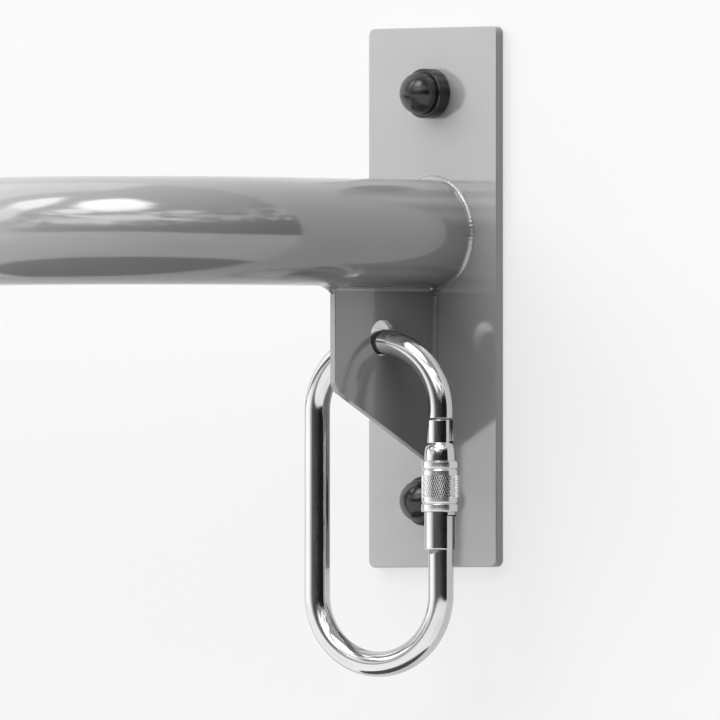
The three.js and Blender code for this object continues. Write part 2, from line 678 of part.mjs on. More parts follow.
// Plunger: its head carries the spring and its stem reaches into the groove of the hinge tongue
function gatePlunger() {
  const head = SPRING_BORE_DIAMETER / 2 - SEAT_GAP;
  const stem = PLUNGER_STEM_DIAMETER / 2;
  const tip = HINGE_HEIGHT + TONGUE_GROOVE_FLOOR + SEAT_GAP;
  const headBottom = SLOT_FLOOR + SLOT_ROOF;
  const profile = points(
    [0, tip],
    [stem - PLUNGER_TIP_CHAMFER, tip],
    [stem, tip + PLUNGER_TIP_CHAMFER],
    [stem, headBottom],
    [head, headBottom],
    [head, SPRING_BOTTOM - SEAT_GAP],
    [0, SPRING_BOTTOM - SEAT_GAP],
  );
  return solidOf(turnedUp(profile, PIN_SIDES).translate(GATE_AXIS, 0, 0));
}

function carabiner(side) {
  const group = new THREE.Group();
  group.position.set(
    0,
    -PLATE_THICKNESS - GUSSET_HOLE_SETBACK,
    -TUBE_RADIUS - GUSSET_HOLE_DROP - HOLE_RADIUS + HANG_GAP + ROD_RADIUS,
  );
  group.rotation.z = CARABINER_YAW;
  group.add(
    meshOf(`carabiner_body_${side}`, carabinerBody(), polishedSteel()),
    meshOf(`carabiner_gate_${side}`, gate(), polishedSteel()),
    meshOf(`gate_hinge_pin_${side}`, crossPin(HINGE_PIN_DIAMETER, HINGE_HEIGHT), polishedSteel()),
    meshOf(`gate_latch_pin_${side}`, crossPin(LATCH_PIN_DIAMETER, LATCH_HEIGHT), polishedSteel()),
    meshOf(`screw_sleeve_${side}`, screwSleeve(), polishedSteel()),
    meshOf(`gate_spring_${side}`, gateSpring(), springSteel()),
    meshOf(`gate_plunger_${side}`, gatePlunger(), polishedSteel()),
  );
  return group;
}

function wallFixing(side, level, height) {
  const group = new THREE.Group();
  group.position.z = height;
  group.add(
    meshOf(`anchor_stud_${side}_${level}`, anchorStud(), zincSteel()),
    meshOf(`expansion_clip_${side}_${level}`, expansionClip(), zincSteel()),
    meshOf(`washer_${side}_${level}`, washer(), zincSteel()),
    meshOf(`hex_nut_${side}_${level}`, hexNut(), zincSteel()),
    meshOf(`nut_cap_${side}_${level}`, nutCap(), blackPlastic()),
  );
  return group;
}

// One end of the bar; the left end is the mirror image of the right one
function barEnd(side, direction) {
  const group = new THREE.Group();
  group.position.x = (direction * PLATE_SPACING) / 2;
  group.scale.x = direction;
  group.add(
    meshOf(`wall_plate_${side}`, wallPlate(), coatedSteel()),
    meshOf(`gusset_${side}`, gusset(), coatedSteel()),
    meshOf(`tube_weld_${side}`, tubeWeld(), weldSteel()),
    meshOf(`gusset_plate_weld_${side}`, gussetPlateWeld(), weldSteel()),
    meshOf(`gusset_tube_weld_${side}`, gussetTubeWeld(), weldSteel()),
    wallFixing(side, "upper", UPPER_BOLT_HEIGHT),
    wallFixing(side, "lower", LOWER_BOLT_HEIGHT),
    carabiner(side),
  );
  return group;
}

const pullUpBar = new THREE.Group();
pullUpBar.name = "pull_up_bar";
pullUpBar.add(meshOf("bar_tube", barTube(), coatedSteel()), barEnd("right", 1), barEnd("left", -1));

export default pullUpBar;
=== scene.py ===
import math

import bpy
import bmesh
from mathutils import Matrix, Vector


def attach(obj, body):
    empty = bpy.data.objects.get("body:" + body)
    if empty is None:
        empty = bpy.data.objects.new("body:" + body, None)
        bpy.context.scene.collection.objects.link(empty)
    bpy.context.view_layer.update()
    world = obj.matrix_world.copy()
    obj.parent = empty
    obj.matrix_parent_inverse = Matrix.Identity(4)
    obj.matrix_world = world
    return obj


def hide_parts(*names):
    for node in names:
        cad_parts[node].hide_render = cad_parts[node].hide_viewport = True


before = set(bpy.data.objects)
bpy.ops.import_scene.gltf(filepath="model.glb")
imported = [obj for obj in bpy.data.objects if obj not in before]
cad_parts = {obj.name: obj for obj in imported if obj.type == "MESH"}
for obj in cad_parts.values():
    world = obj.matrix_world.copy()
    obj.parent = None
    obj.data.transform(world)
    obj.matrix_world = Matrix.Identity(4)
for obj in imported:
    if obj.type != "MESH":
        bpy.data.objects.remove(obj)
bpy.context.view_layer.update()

MM = 0.001
FULL = 2 * math.pi
QUARTER = math.pi / 2
SIDES = {"right": 1, "left": -1}
ACROSS = Vector((1, 0, 0))

# ------------ sizes, as in the part's source (mm)
PLATE_X = 500
PLATE_THICKNESS = 4
TUBE_RADIUS = 21.2
TUBE_WALL = 2.6
TUBE_STUB = 80
TUBE_BEND = 80
BOLTS = {"upper": 55.006, "lower": -105.006}
BOLT_HOLE = 4.5
PLATE_TOP = 81.005
PLATE_BOTTOM = -131.006
PLATE_HALF_WIDTH = 35
PLATE_CORNER = 3
GUSSET_DEPTH = 56
GUSSET_HALF = 1.5
GUSSET_FOOT = -91
GUSSET_SNIP = 3
GUSSET_FRONT_LOW = -59.4
GUSSET_TOE = (54.2, -62.46)
GUSSET_CORNER = 2
HOLE_RADIUS = 7
HOLE_SETBACK = 29.2
HOLE_HEIGHT = -41.2
PIVOT = Vector((0, -33.2, -42.7))
YAW = math.radians(16.4)

ROD = 5
LOOP = 27.4
LOOP_SHIFT = 0.6
GATE_SIDE = LOOP - LOOP_SHIFT
GATE_AXIS = 26.5
TOP_CENTRE = -27.4
NOSE_END = -30.25
GATE_TOP = -30.7
LATCH = -34.3
LIP_END = -39.3
WEB_OUT = 4.0
SHOULDER = -39.9
SLEEVE_TOP = -46.8
SLEEVE_BOTTOM = -66.8
SLEEVE_LENGTH = SLEEVE_TOP - SLEEVE_BOTTOM
SLOT_FLOOR = -68.0
TONGUE_TOP = -68.4
HINGE = -75.3
BARREL_BOTTOM = -81.6
BOTTOM_CENTRE = -99.0
FORK_TOP = 5.12
FORK_FOOT = 5.2
HINGE_PIN, HINGE_PIN_HALF = 2.0, 5.5
LATCH_PIN, LATCH_PIN_HALF = 1.5, 4.5
PIN_FIT, PIN_END_FIT = 0.01, 0.05
BARREL = 6.3
SLEEVE_BORE = 6.5
SLEEVE = 7.5
KNURL_IN = 5.65


# ------------ outlines and plain meshes
STRAIGHT = 0.02  # radians: a corner flatter than this isn't rounded
ON_AXIS = 1e-6
WELD_DISTANCE = 1e-7


def rounded(points, radius, steps=4, closed=True):
    """The outline with each corner rounded. A point may carry its own radius as a third number."""
    result = []
    count = len(points)
    for index, point in enumerate(points):
        here = Vector(point[:2])
        size = point[2] if len(point) > 2 else radius
        at_end = not closed and index in (0, count - 1)
        if at_end or size <= 0:
            result.append(tuple(here))
            continue
        before = Vector(points[index - 1][:2]) - here
        after = Vector(points[(index + 1) % count][:2]) - here
        angle = before.angle(after)
        if angle > math.pi - STRAIGHT:
            result.append(tuple(here))
            continue
        reach = size / math.tan(angle / 2)
        bisector = (before.normalized() + after.normalized()).normalized()
        centre = here + bisector * (size / math.sin(angle / 2))
        start = here + before.normalized() * reach - centre
        end = here + after.normalized() * reach - centre
        first = math.atan2(start.y, start.x)
        turn = (math.atan2(end.y, end.x) - first + math.pi) % FULL - math.pi
        for step in range(steps + 1):
            a = first + turn * step / steps
            result.append((centre.x + size * math.cos(a), centre.y + size * math.sin(a)))
    return result


def arc(x, y, radius, start, end, steps):
    angles = [start + (end - start) * i / steps for i in range(steps + 1)]
    return [(x + radius * math.cos(a), y + radius * math.sin(a)) for a in angles]


def circle(x, y, radius, sides):
    return arc(x, y, radius, 0, FULL * (sides - 1) / sides, sides - 1)


def lathe(profile, sides):
    """Turns (radius, height) points about +Z."""
    verts, rings, faces = [], [], []
    for radius, height in profile:
        if radius <= ON_AXIS:
            rings.append([len(verts)])
            verts.append((0, 0, height))
            continue
        rings.append(list(range(len(verts), len(verts) + sides)))
        for side in range(sides):
            angle = FULL * side / sides
            verts.append((radius * math.cos(angle), radius * math.sin(angle), height))
    for low, high in zip(rings, rings[1:]):
        for side in range(sides):
            after = (side + 1) % sides
            corners = [low[side % len(low)], low[after % len(low)], high[after % len(high)], high[side % len(high)]]
            corners = [c for i, c in enumerate(corners) if c not in corners[:i]]
            if len(corners) > 2:
                faces.append(corners)
    return verts, faces


def sweep(stations, radius, sides, bore=None):
    """A round bar, or a tube where bore is given, along (centre, first axis, second axis, radius share)."""
    verts, faces = [], []
    rows = []
    for size in [radius] + ([bore] if bore else []):
        skin = []
        for centre, first, second, share in stations:
            skin.append(range(len(verts), len(verts) + sides))
            for side in range(sides):
                angle = FULL * side / sides
                verts.append(tuple(centre + (first * math.cos(angle) + second * math.sin(angle)) * size * share))
        rows.append(skin)
        for low, high in zip(skin, skin[1:]):
            for side in range(sides):
                after = (side + 1) % sides
                faces.append((low[side], low[after], high[after], high[side]))
    for end in (0, -1):
        if bore:
            outer, inner = rows[0][end], rows[1][end]
            for side in range(sides):
                after = (side + 1) % sides
                faces.append((outer[side], outer[after], inner[after], inner[side]))
        else:
            faces.append(tuple(rows[0][end]))
    return verts, faces


def slab(outline, low, high):
    """An outline of (x, z) points made thick along Y."""
    count = len(outline)
    verts = [(x, low, z) for x, z in outline] + [(x, high, z) for x, z in outline]
    faces = [tuple(range(count)), tuple(range(count, 2 * count))]
    faces += [(i, (i + 1) % count, count + (i + 1) % count, count + i) for i in range(count)]
    return verts, faces


def moved(mesh, matrix):
    verts, faces = mesh
    return [tuple(matrix @ Vector(v)) for v in verts], faces


def shifted(mesh, x=0, y=0, z=0):
    return moved(mesh, Matrix.Translation((x, y, z)))


OUTWARD = Matrix.Rotation(QUARTER, 4, "X")


def standing_out(mesh, height):
    """Turns a lathe's +Z towards -Y, out from the wall, at the given height."""
    return shifted(moved(mesh, OUTWARD), z=height)


def hung(mesh):
    """Moves a mesh from the carabiner's own frame to its place at the right end."""
    return moved(mesh, Matrix.Translation(PIVOT) @ Matrix.Rotation(YAW, 4, "Z"))


# ------------ Blender meshes and pieces
def linked(name, data):
    thing = bpy.data.objects.new(name, data)
    bpy.context.scene.collection.objects.link(thing)
    return thing


def mesh_data(name, mesh):
    verts, faces = mesh
    data = bpy.data.meshes.new(name)
    data.from_pydata([Vector(v) * MM for v in verts], [], [list(face) for face in faces])
    work = bmesh.new()
    work.from_mesh(data)
    bmesh.ops.remove_doubles(work, verts=work.verts, dist=WELD_DISTANCE)
    bmesh.ops.recalc_face_normals(work, faces=work.faces)
    work.to_mesh(data)
    work.free()
    return data


CUT, JOIN, KEEP = "DIFFERENCE", "UNION", "INTERSECT"


def carved(name, base, steps):
    """Joins or cuts a mesh by others, one after the other: steps are (operation, mesh). Takes and gives mm."""
    data = mesh_data(name, base)
    for operation, mesh in steps:
        body, tool = linked(name, data), linked(name, mesh_data(name, mesh))
        cut = body.modifiers.new("cut", "BOOLEAN")
        cut.operation, cut.solver, cut.object = operation, "EXACT", tool
        bpy.context.view_layer.update()
        result = bpy.data.meshes.new_from_object(body.evaluated_get(bpy.context.evaluated_depsgraph_get()))
        spent = tool.data
        for thing in (body, tool):
            bpy.data.objects.remove(thing)
        for old in (data, spent):
            bpy.data.meshes.remove(old)
        data = result
    verts = [tuple(v.co / MM) for v in data.vertices]
    faces = [tuple(p.vertices) for p in data.polygons]
    bpy.data.meshes.remove(data)
    return verts, faces


def piece(name, mesh, material, slot, body, nodes, sharp=35, bevel=0):
    data = mesh_data(name, mesh)
    data.materials.append(material)
    data.shade_smooth()
    thing = linked(name, data)
    if bevel:
        edge = thing.modifiers.new("edge", "BEVEL")
        edge.width, edge.segments, edge.limit_method = bevel * MM, 3, "ANGLE"
        edge.angle_limit = math.radians(sharp)
        even = thing.modifiers.new("even", "WEIGHTED_NORMAL")
        even.weight = 100
    else:
        data.set_sharp_from_angle(angle=math.radians(sharp))
    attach(thing, body)
    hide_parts(*nodes)


def both_ends(stem, mesh, material, slot, body="frame", suffix="", **options):
    """The piece at the right end and its mirror image at the left end."""
    verts, faces = mesh
    for side, sign in SIDES.items():
        node = f"{stem}_{side}{suffix}"
        placed = [(sign * (PLATE_X + x), y, z) for x, y, z in verts]
        carrier = body if body == "frame" else f"{body}_{side}"
        piece(f"{node}_piece", (placed, faces), material, slot, carrier, [node], **options)


# ------------ node trees
class Tree:
    """A short way to write node trees."""

    def __init__(self, owner):
        owner.use_nodes = True
        self.nodes, self.links = owner.node_tree.nodes, owner.node_tree.links
        self.nodes.clear()

    def node(self, kind, **settings):
        made = self.nodes.new(kind)
        for key, value in settings.items():
            setattr(made, key, value)
        return made

    def feed(self, socket, value):
        if isinstance(value, bpy.types.NodeSocket):
            self.links.new(value, socket)
        elif value is not None:
            socket.default_value = value

    def math(self, operation, first, second=None, clamp=False):
        made = self.node("ShaderNodeMath", operation=operation, use_clamp=clamp)
        for socket, value in zip(made.inputs, (first, second)):
            self.feed(socket, value)
        return made.outputs[0]

    def product(self, first, *others):
        for other in others:
            first = self.math("MULTIPLY", first, other)
        return first

    def total(self, first, second):
        return self.math("ADD", first, second)

    def length(self, x, y):
        return self.math("SQRT", self.total(self.product(x, x), self.product(y, y)))

    def span(self, value, low, high, start=0.0, end=1.0):
        """A smooth step from start to end while the value goes from low to high, which may be the smaller."""
        made = self.node("ShaderNodeMapRange", interpolation_type="SMOOTHSTEP")
        for key, number in zip(("From Min", "From Max", "To Min", "To Max"), (low, high, start, end)):
            self.feed(made.inputs[key], number)
        self.feed(made.inputs["Value"], value)
        return made.outputs[0]

    def noise(self, vector, scale, detail=2.0, roughness=0.5):
        made = self.node("ShaderNodeTexNoise")
        for key, value in (("Vector", vector), ("Scale", scale), ("Detail", detail), ("Roughness", roughness)):
            self.feed(made.inputs[key], value)
        return made.outputs["Fac"]

    def mix(self, share, first, second):
        """Numbers: first where share is 0, second where it is 1."""
        made = self.node("ShaderNodeMix", data_type="FLOAT")
        for socket, value in zip((made.inputs[0], made.inputs[2], made.inputs[3]), (share, first, second)):
            self.feed(socket, value)
        return made.outputs[0]

    def colours(self, share, first, second):
        made = self.node("ShaderNodeMix", data_type="RGBA")
        for socket, value in zip((made.inputs[0], made.inputs[6], made.inputs[7]), (share, first, second)):
            self.feed(socket, value)
        return made.outputs[2]

    def bump(self, height, distance, normal=None):
        made = self.node("ShaderNodeBump")
        for key, value in (("Height", height), ("Distance", distance), ("Strength", 1.0), ("Normal", normal)):
            self.feed(made.inputs[key], value)
        return made.outputs[0]

    def openness(self, reach):
        """1 in the open, less where other surfaces stand within reach."""
        made = self.node("ShaderNodeAmbientOcclusion", samples=6)
        made.inputs["Distance"].default_value = reach
        return made.outputs["AO"]

    def soft_normal(self, radius, samples):
        made = self.node("ShaderNodeBevel", samples=samples)
        made.inputs["Radius"].default_value = radius
        return made.outputs[0]

    def parts(self, vector):
        made = self.node("ShaderNodeSeparateXYZ")
        self.feed(made.inputs[0], vector)
        return made.outputs

    def dot(self, vector, other):
        made = self.node("ShaderNodeVectorMath", operation="DOT_PRODUCT")
        self.feed(made.inputs[0], vector)
        self.feed(made.inputs[1], other)
        return made.outputs["Value"]

    def tinted(self, level, tint):
        made = self.node("ShaderNodeCombineColor")
        for socket, share in zip(made.inputs, tint):
            self.feed(socket, self.product(level, share))
        return made.outputs[0]

    def stretched(self, vector, scale):
        made = self.node("ShaderNodeVectorMath", operation="MULTIPLY")
        self.feed(made.inputs[0], vector)
        made.inputs[1].default_value = scale
        return made.outputs[0]

    def object_place(self):
        return self.node("ShaderNodeTexCoord").outputs["Object"]


def grey(value, tint=(1.0, 1.0, 1.0)):
    return tuple(value * t for t in tint) + (1.0,)


def new_material(name):
    material = bpy.data.materials.new(name)
    tree = Tree(material)
    shader = tree.node("ShaderNodeBsdfPrincipled")
    out = tree.node("ShaderNodeOutputMaterial")
    tree.links.new(shader.outputs[0], out.inputs[0])
    return material, tree, shader.inputs


def edge_share(tree, radius):
    """1 along outer edges, 0 on open faces, from how far a rounded normal leans off the true one."""
    true = tree.node("ShaderNodeNewGeometry").outputs["Normal"]
    lean = tree.math("SUBTRACT", 1.0, tree.dot(tree.soft_normal(radius, samples=6), true))
    return tree.span(lean, 0.02, 0.25)


def coated(name, peel=1.0, ripple=0.0, metal=0.15, corner=1.0):
    """Grey metallic stove enamel under a clear coat: flake, orange peel, lighter worn edges that also paint an edge
    highlight and, where corner is under 1, painted shade that darkens the inner corners that the photograph shows."""
    base, worn_edge_highlight, worn_edge_highlight_share, tint = 0.43, 0.52, 0.35, (1.008, 0.994, 1.0)
    edge_radius, corner_shade_reach = 0.0006, 0.06
    peel_height, flake_height, ripple_height = 0.000012, 0.0000012, 0.00003
    material, tree, put = new_material(name)
    place = tree.object_place()
    cloud = tree.span(tree.noise(place, scale=14.0, detail=3.0), 0.3, 0.7, -0.012, 0.012)
    flake = tree.span(tree.noise(place, scale=2600.0, roughness=0.7), 0.3, 0.7, -0.010, 0.010)
    level = tree.total(base, tree.total(cloud, flake))
    # Lighter along outer edges: worn paint, and a painted edge highlight.
    level = tree.mix(tree.product(edge_share(tree, edge_radius), worn_edge_highlight_share), level, worn_edge_highlight)
    # Painted shade: the base colour darkens where other surfaces stand near, in the inner corners.
    if corner < 1.0:
        level = tree.product(level, tree.span(tree.openness(corner_shade_reach), 0.35, 0.8, corner, 1.0))
    tree.feed(put["Base Color"], tree.tinted(level, tint))
    put["Metallic"].default_value = metal
    smear = tree.noise(tree.stretched(place, (9.0, 9.0, 30.0)), scale=4.0, detail=4.0, roughness=0.6)
    tree.feed(put["Roughness"], tree.span(smear, 0.25, 0.75, 0.10, 0.15))
    put["Coat Weight"].default_value = 0.3
    put["Coat Roughness"].default_value = 0.06
    skin = tree.bump(tree.noise(place, scale=330.0), peel_height * peel)
    skin = tree.bump(tree.noise(place, scale=2600.0, detail=1.0), flake_height, skin)
    if ripple:
        skin = tree.bump(tree.noise(place, scale=900.0, detail=3.0), ripple_height * ripple, skin)
    tree.feed(put["Normal"], skin)
    return material


def polished(name, rough=(0.08, 0.12), level=0.56, edge=0.00014, lines=1.0, knurled=False):
    """Bright plated steel: faint cloud in the polish, hair scratches, softened edges and painted shade that darkens
    the joints.
    """
    tint, joint_shade_reach, scratch_depth, wave_height = (0.985, 1.0, 0.992), 0.0009, 0.0000012, 0.000006
    material, tree, put = new_material(name)
    place = tree.object_place()
    tone = tree.total(level, tree.span(tree.noise(place, scale=60.0, detail=3.0), 0.3, 0.7, -0.02, 0.02))
    # Painted shade: the base colour darkens where other surfaces stand within the joint reach, in the joints and
    # gaps.
    near = tree.openness(joint_shade_reach)
    painted_shade_and_highlight = tree.span(near, 0.2, 0.75, 0.08, 1.0)
    if knurled:
        # In the knurl the flats are smoother; painted shade darkens the flats and a painted highlight brightens the
        # grooves; none on the bands
        middle = (PIVOT.z + (SLEEVE_TOP + SLEEVE_BOTTOM) / 2) * MM
        off = tree.math("ABSOLUTE", tree.math("SUBTRACT", tree.parts(place)[2], middle))
        knurl_half, blend = SLEEVE_LENGTH / 2 - KNURL_IN, 0.05
        band = tree.span(off, (knurl_half - blend) * MM, (knurl_half + blend) * MM)
        painted_shade_and_highlight = tree.mix(band, tree.span(near, 0.6, 0.95, 1.25, 0.6), 1.0)
        rough = tuple(tree.mix(band, 0.5 * value, value) for value in rough)
    tree.feed(put["Base Color"], tree.tinted(tree.product(tone, painted_shade_and_highlight), tint))
    put["Metallic"].default_value = 1.0
    smear = tree.noise(tree.stretched(place, (220.0, 220.0, 40.0)), scale=1.0, detail=4.0, roughness=0.6)
    tree.feed(put["Roughness"], tree.span(smear, 0.25, 0.75, *rough))
    hair = tree.noise(tree.stretched(place, (2400.0, 2400.0, 130.0)), scale=1.0)
    skin = tree.bump(hair, scratch_depth * lines, tree.soft_normal(edge, samples=4))
    tree.feed(put["Normal"], tree.bump(tree.noise(place, scale=150.0, detail=1.0), wave_height, skin))
    return material


def plated(name, level=0.5, tints=((1.0, 0.99, 0.95), (0.95, 0.98, 1.0))):
    """Zinc plate: blotchy tint, dull film and a fine grain."""
    material, tree, put = new_material(name)
    place = tree.object_place()
    blotch_share, grain_height = 0.9, 0.000008
    blotch = tree.span(tree.noise(place, scale=160.0, detail=3.0), 0.35, 0.65)
    tree.feed(put["Base Color"], tree.colours(blotch, grey(level, tints[0]), grey(level * blotch_share, tints[1])))
    put["Metallic"].default_value = 1.0
    dull = tree.noise(place, scale=500.0, detail=4.0, roughness=0.7)
    tree.feed(put["Roughness"], tree.span(dull, 0.3, 0.7, 0.24, 0.42))
    grain = tree.noise(tree.stretched(place, (3000.0, 600.0, 3000.0)), scale=1.0)
    tree.feed(put["Normal"], tree.bump(grain, grain_height))
    return material


def moulded(name):
    """Black moulded plastic: fine grain, slightly uneven gloss and scuffed edges."""
    black_level, scuffed_level, scuff_share, edge_radius, grain_height = 0.003, 0.011, 0.5, 0.0004, 0.000006
    material, tree, put = new_material(name)
    place = tree.object_place()
    patches = tree.span(tree.noise(place, scale=420.0, detail=3.0), 0.4, 0.7)
    scuff = tree.product(edge_share(tree, edge_radius), patches, scuff_share)
    cloud = tree.span(tree.noise(place, scale=110.0, detail=3.0), 0.3, 0.7, 0.0, 0.35)
    share = tree.math("ADD", cloud, scuff, clamp=True)
    tree.feed(put["Base Color"], tree.colours(share, grey(black_level), grey(scuffed_level)))
    gloss = tree.noise(place, scale=260.0, detail=4.0, roughness=0.6)
    tree.feed(put["Roughness"], tree.span(gloss, 0.3, 0.7, 0.18, 0.26))
    put["Specular IOR Level"].default_value = 0.6
    tree.feed(put["Normal"], tree.bump(tree.noise(place, scale=2200.0), grain_height))
    return material


coat = coated("coated_steel")
# The coats with a corner number under 1 paint shade into their inner corners: the tube's and gussets' most, then the
# fillets' and welds'.
corner_shade_coat = coated("coated_corner_shade", corner=0.45)
weld_coat = coated("coated_weld", peel=1.5, ripple=1.0, metal=0.4, corner=0.75)
fillet_coat = coated("coated_fillet", peel=1.5, ripple=1.0, metal=0.08, corner=0.5)
steel = polished("polished_steel")
knurl_steel = polished("knurled_steel", rough=(0.18, 0.25), level=0.62, edge=0.00002, lines=0.5, knurled=True)
zinc = plated("zinc_steel")
spring_steel = plated("spring_steel", level=0.34, tints=((1.0, 0.98, 0.95), (0.96, 0.98, 1.0)))
black = moulded("black_plastic")


# ------------ the camera, at the photograph's viewing angle
VIEW_AZIMUTH = math.radians(44.3)
VIEW_ELEVATION = math.radians(-0.71)
VIEW_DISTANCE = 12.0
FRAME_WIDTH = 0.2827
AIM_LEFT, AIM_DOWN = 0.0284, 0.0496
SENSOR = 36
outward = Vector((
    math.sin(VIEW_AZIMUTH) * math.cos(VIEW_ELEVATION),
    -math.cos(VIEW_AZIMUTH) * math.cos(VIEW_ELEVATION),
    math.sin(VIEW_ELEVATION),
))
across = Vector((math.cos(VIEW_AZIMUTH), math.sin(VIEW_AZIMUTH), 0))
upward = outward.cross(across)
aim = Vector((PLATE_X, -PLATE_THICKNESS, 0)) * MM - across * AIM_LEFT - upward * AIM_DOWN
camera = linked("camera", bpy.data.cameras.new("camera"))
camera.data.sensor_width = SENSOR
camera.data.lens = SENSOR * VIEW_DISTANCE / FRAME_WIDTH
camera.data.clip_start, camera.data.clip_end = 1, 60
camera.location = aim + outward * VIEW_DISTANCE
camera.rotation_mode = "QUATERNION"
camera.rotation_quaternion = (-outward).to_track_quat("-Z", "Y")
bpy.context.scene.camera = camera


# ------------ bar tube
TUBE_SIDES, STUB_STEPS, BEND_STEPS, RUN_STEPS = 128, 8, 64, 40


def tube_stations():
    """From the right plate along the stub, round the bend and along the run, then the same mirrored."""
    start = -PLATE_THICKNESS
    corner = start - TUBE_STUB
    centre = PLATE_X - TUBE_BEND
    steps = range(STUB_STEPS + 1)
    half = [(Vector((PLATE_X, start - TUBE_STUB * step / STUB_STEPS, 0)), ACROSS) for step in steps]
    for step in range(1, BEND_STEPS + 1):
        a = QUARTER * step / BEND_STEPS
        out = Vector((math.cos(a), -math.sin(a), 0))
        half.append((Vector((centre + TUBE_BEND * out.x, corner + TUBE_BEND * out.y, 0)), out))
    run = [
        (Vector((centre * (1 - 2 * step / RUN_STEPS), corner - TUBE_BEND, 0)), Vector((0, -1, 0)))
        for step in range(1, RUN_STEPS)
    ]
    other = [(Vector((-point.x, point.y, 0)), Vector((-out.x, out.y, 0))) for point, out in reversed(half)]
    return [(point, out, Vector((0, 0, 1)), 1) for point, out in half + run + other]


# The tube's coat paints shade into its inner corners.
piece(
    "bar_tube_piece",
    sweep(tube_stations(), TUBE_RADIUS, TUBE_SIDES, TUBE_RADIUS - TUBE_WALL),
    corner_shade_coat, "coated_steel", "frame", ["bar_tube"],
)


# ------------ wall plates and gussets
OVERRUN = 1  # how far a cut runs past the faces that it goes through


def wall_plate():
    half = PLATE_HALF_WIDTH
    corners = [(-half, PLATE_BOTTOM), (half, PLATE_BOTTOM), (half, PLATE_TOP), (-half, PLATE_TOP)]
    outline = rounded(corners, PLATE_CORNER, 8)
    front = PLATE_THICKNESS + OVERRUN
    drill = lathe([(0, -OVERRUN), (BOLT_HOLE, -OVERRUN), (BOLT_HOLE, front), (0, front)], 48)
    drills = [(CUT, standing_out(drill, height)) for height in BOLTS.values()]
    return carved("plate", slab(outline, -PLATE_THICKNESS, 0), drills)


def across_gusset(mesh):
    """From a slab of (distance out from the plate, height) to its place under the tube."""
    return shifted(moved(mesh, Matrix.Rotation(-QUARTER, 4, "Z")), y=-PLATE_THICKNESS)


def gusset():
    outline = rounded([
        (GUSSET_SNIP, -TUBE_RADIUS, 0), (GUSSET_DEPTH, -TUBE_RADIUS, 0), (GUSSET_DEPTH, GUSSET_FRONT_LOW),
        GUSSET_TOE, (0, GUSSET_FOOT, 0), (0, -TUBE_RADIUS - GUSSET_SNIP, 0),
    ], GUSSET_CORNER)
    hole = slab(circle(HOLE_SETBACK, HOLE_HEIGHT, HOLE_RADIUS, 72), -2 * GUSSET_HALF, 2 * GUSSET_HALF)
    plate = slab(outline, -GUSSET_HALF, GUSSET_HALF)
    return carved("gusset", across_gusset(plate), [(CUT, across_gusset(hole))])


both_ends("wall_plate", wall_plate(), coat, "coated_steel", bevel=0.5, sharp=40)
# The gussets' coat paints shade into their inner corners.
both_ends("gusset", gusset(), corner_shade_coat, "coated_steel", bevel=0.3, sharp=40)


# ------------ weld beads: hollow fillets with faint ripples
WELD_LEG = 1.8
PLATE_BEAD_LEG = 1.7
WELD_SINK = 0.2
TUBE_WELD_SINK = 0.25
WELD_POWER = 1.15
WELD_STEPS = 8
RIPPLE_PITCH = 1.7
RIPPLE_SHARE = 0.7
BEAD_TOP, BEAD_LOW, BEAD_TOE = -24.4, -90.2, 0.6
BEAD_BACK, BEAD_FRONT = 3.2, 0.8
FRONT_BEAD_OUT, FRONT_BEAD_DOWN, FRONT_BEAD_FULLER = 4.6, 2.6, 0.35


def hollow(leg_out, leg_up, sink=WELD_SINK, power=WELD_POWER):
    """Cross-section of a hollow fillet in a corner: (away from the upright, up from the base)."""
    curve = []
    for step in range(WELD_STEPS + 1):
        a = QUARTER * step / WELD_STEPS
        curve.append((leg_out * (1 - math.sin(a)) ** power, leg_up * (1 - math.cos(a)) ** power))
    return [(-sink, -sink), (leg_out, -sink)] + curve + [(-sink, leg_up)]


def ripple(place, height=0.05):
    return height * (abs(math.sin(math.pi * place / RIPPLE_PITCH)) - 0.5)


def rippled(section, wave):
    """The section's points with what a ripple adds to each: nothing where it meets the steel."""
    last = len(section) - 2
    return [(out, up, wave * RIPPLE_SHARE if 2 < index < last else 0) for index, (out, up) in enumerate(section)]


def tube_bead():
    section = hollow(WELD_LEG, WELD_LEG, TUBE_WELD_SINK)
    verts, faces = [], []
    sides, count = 720, len(section)
    for side in range(sides):
        angle = FULL * side / sides
        for out, up, extra in rippled(section, ripple(angle * TUBE_RADIUS)):
            r, lift = TUBE_RADIUS + out + extra, up + PLATE_THICKNESS + extra
            verts.append((r * math.cos(angle), -lift, r * math.sin(angle)))
    for side in range(sides):
        after = (side + 1) % sides
        for index in range(count):
            nxt = (index + 1) % count
            faces.append((side * count + index, after * count + index, after * count + nxt, side * count + nxt))
    return verts, faces


def strand(sections):
    """A closed bead from a row of cross-sections with the same number of points."""
    count = len(sections[0])
    verts = [point for section in sections for point in section]
    faces = [tuple(range(count)), tuple(range((len(sections) - 1) * count, len(sections) * count))]
    for row in range(len(sections) - 1):
        for index in range(count):
            nxt = (index + 1) % count
            faces.append((row * count + index, row * count + nxt, (row + 1) * count + nxt, (row + 1) * count + index))
    return verts, faces


def foot_path(height_from, height_to, steps):
    return [height_from + (height_to - height_from) * i / steps for i in range(steps + 1)]


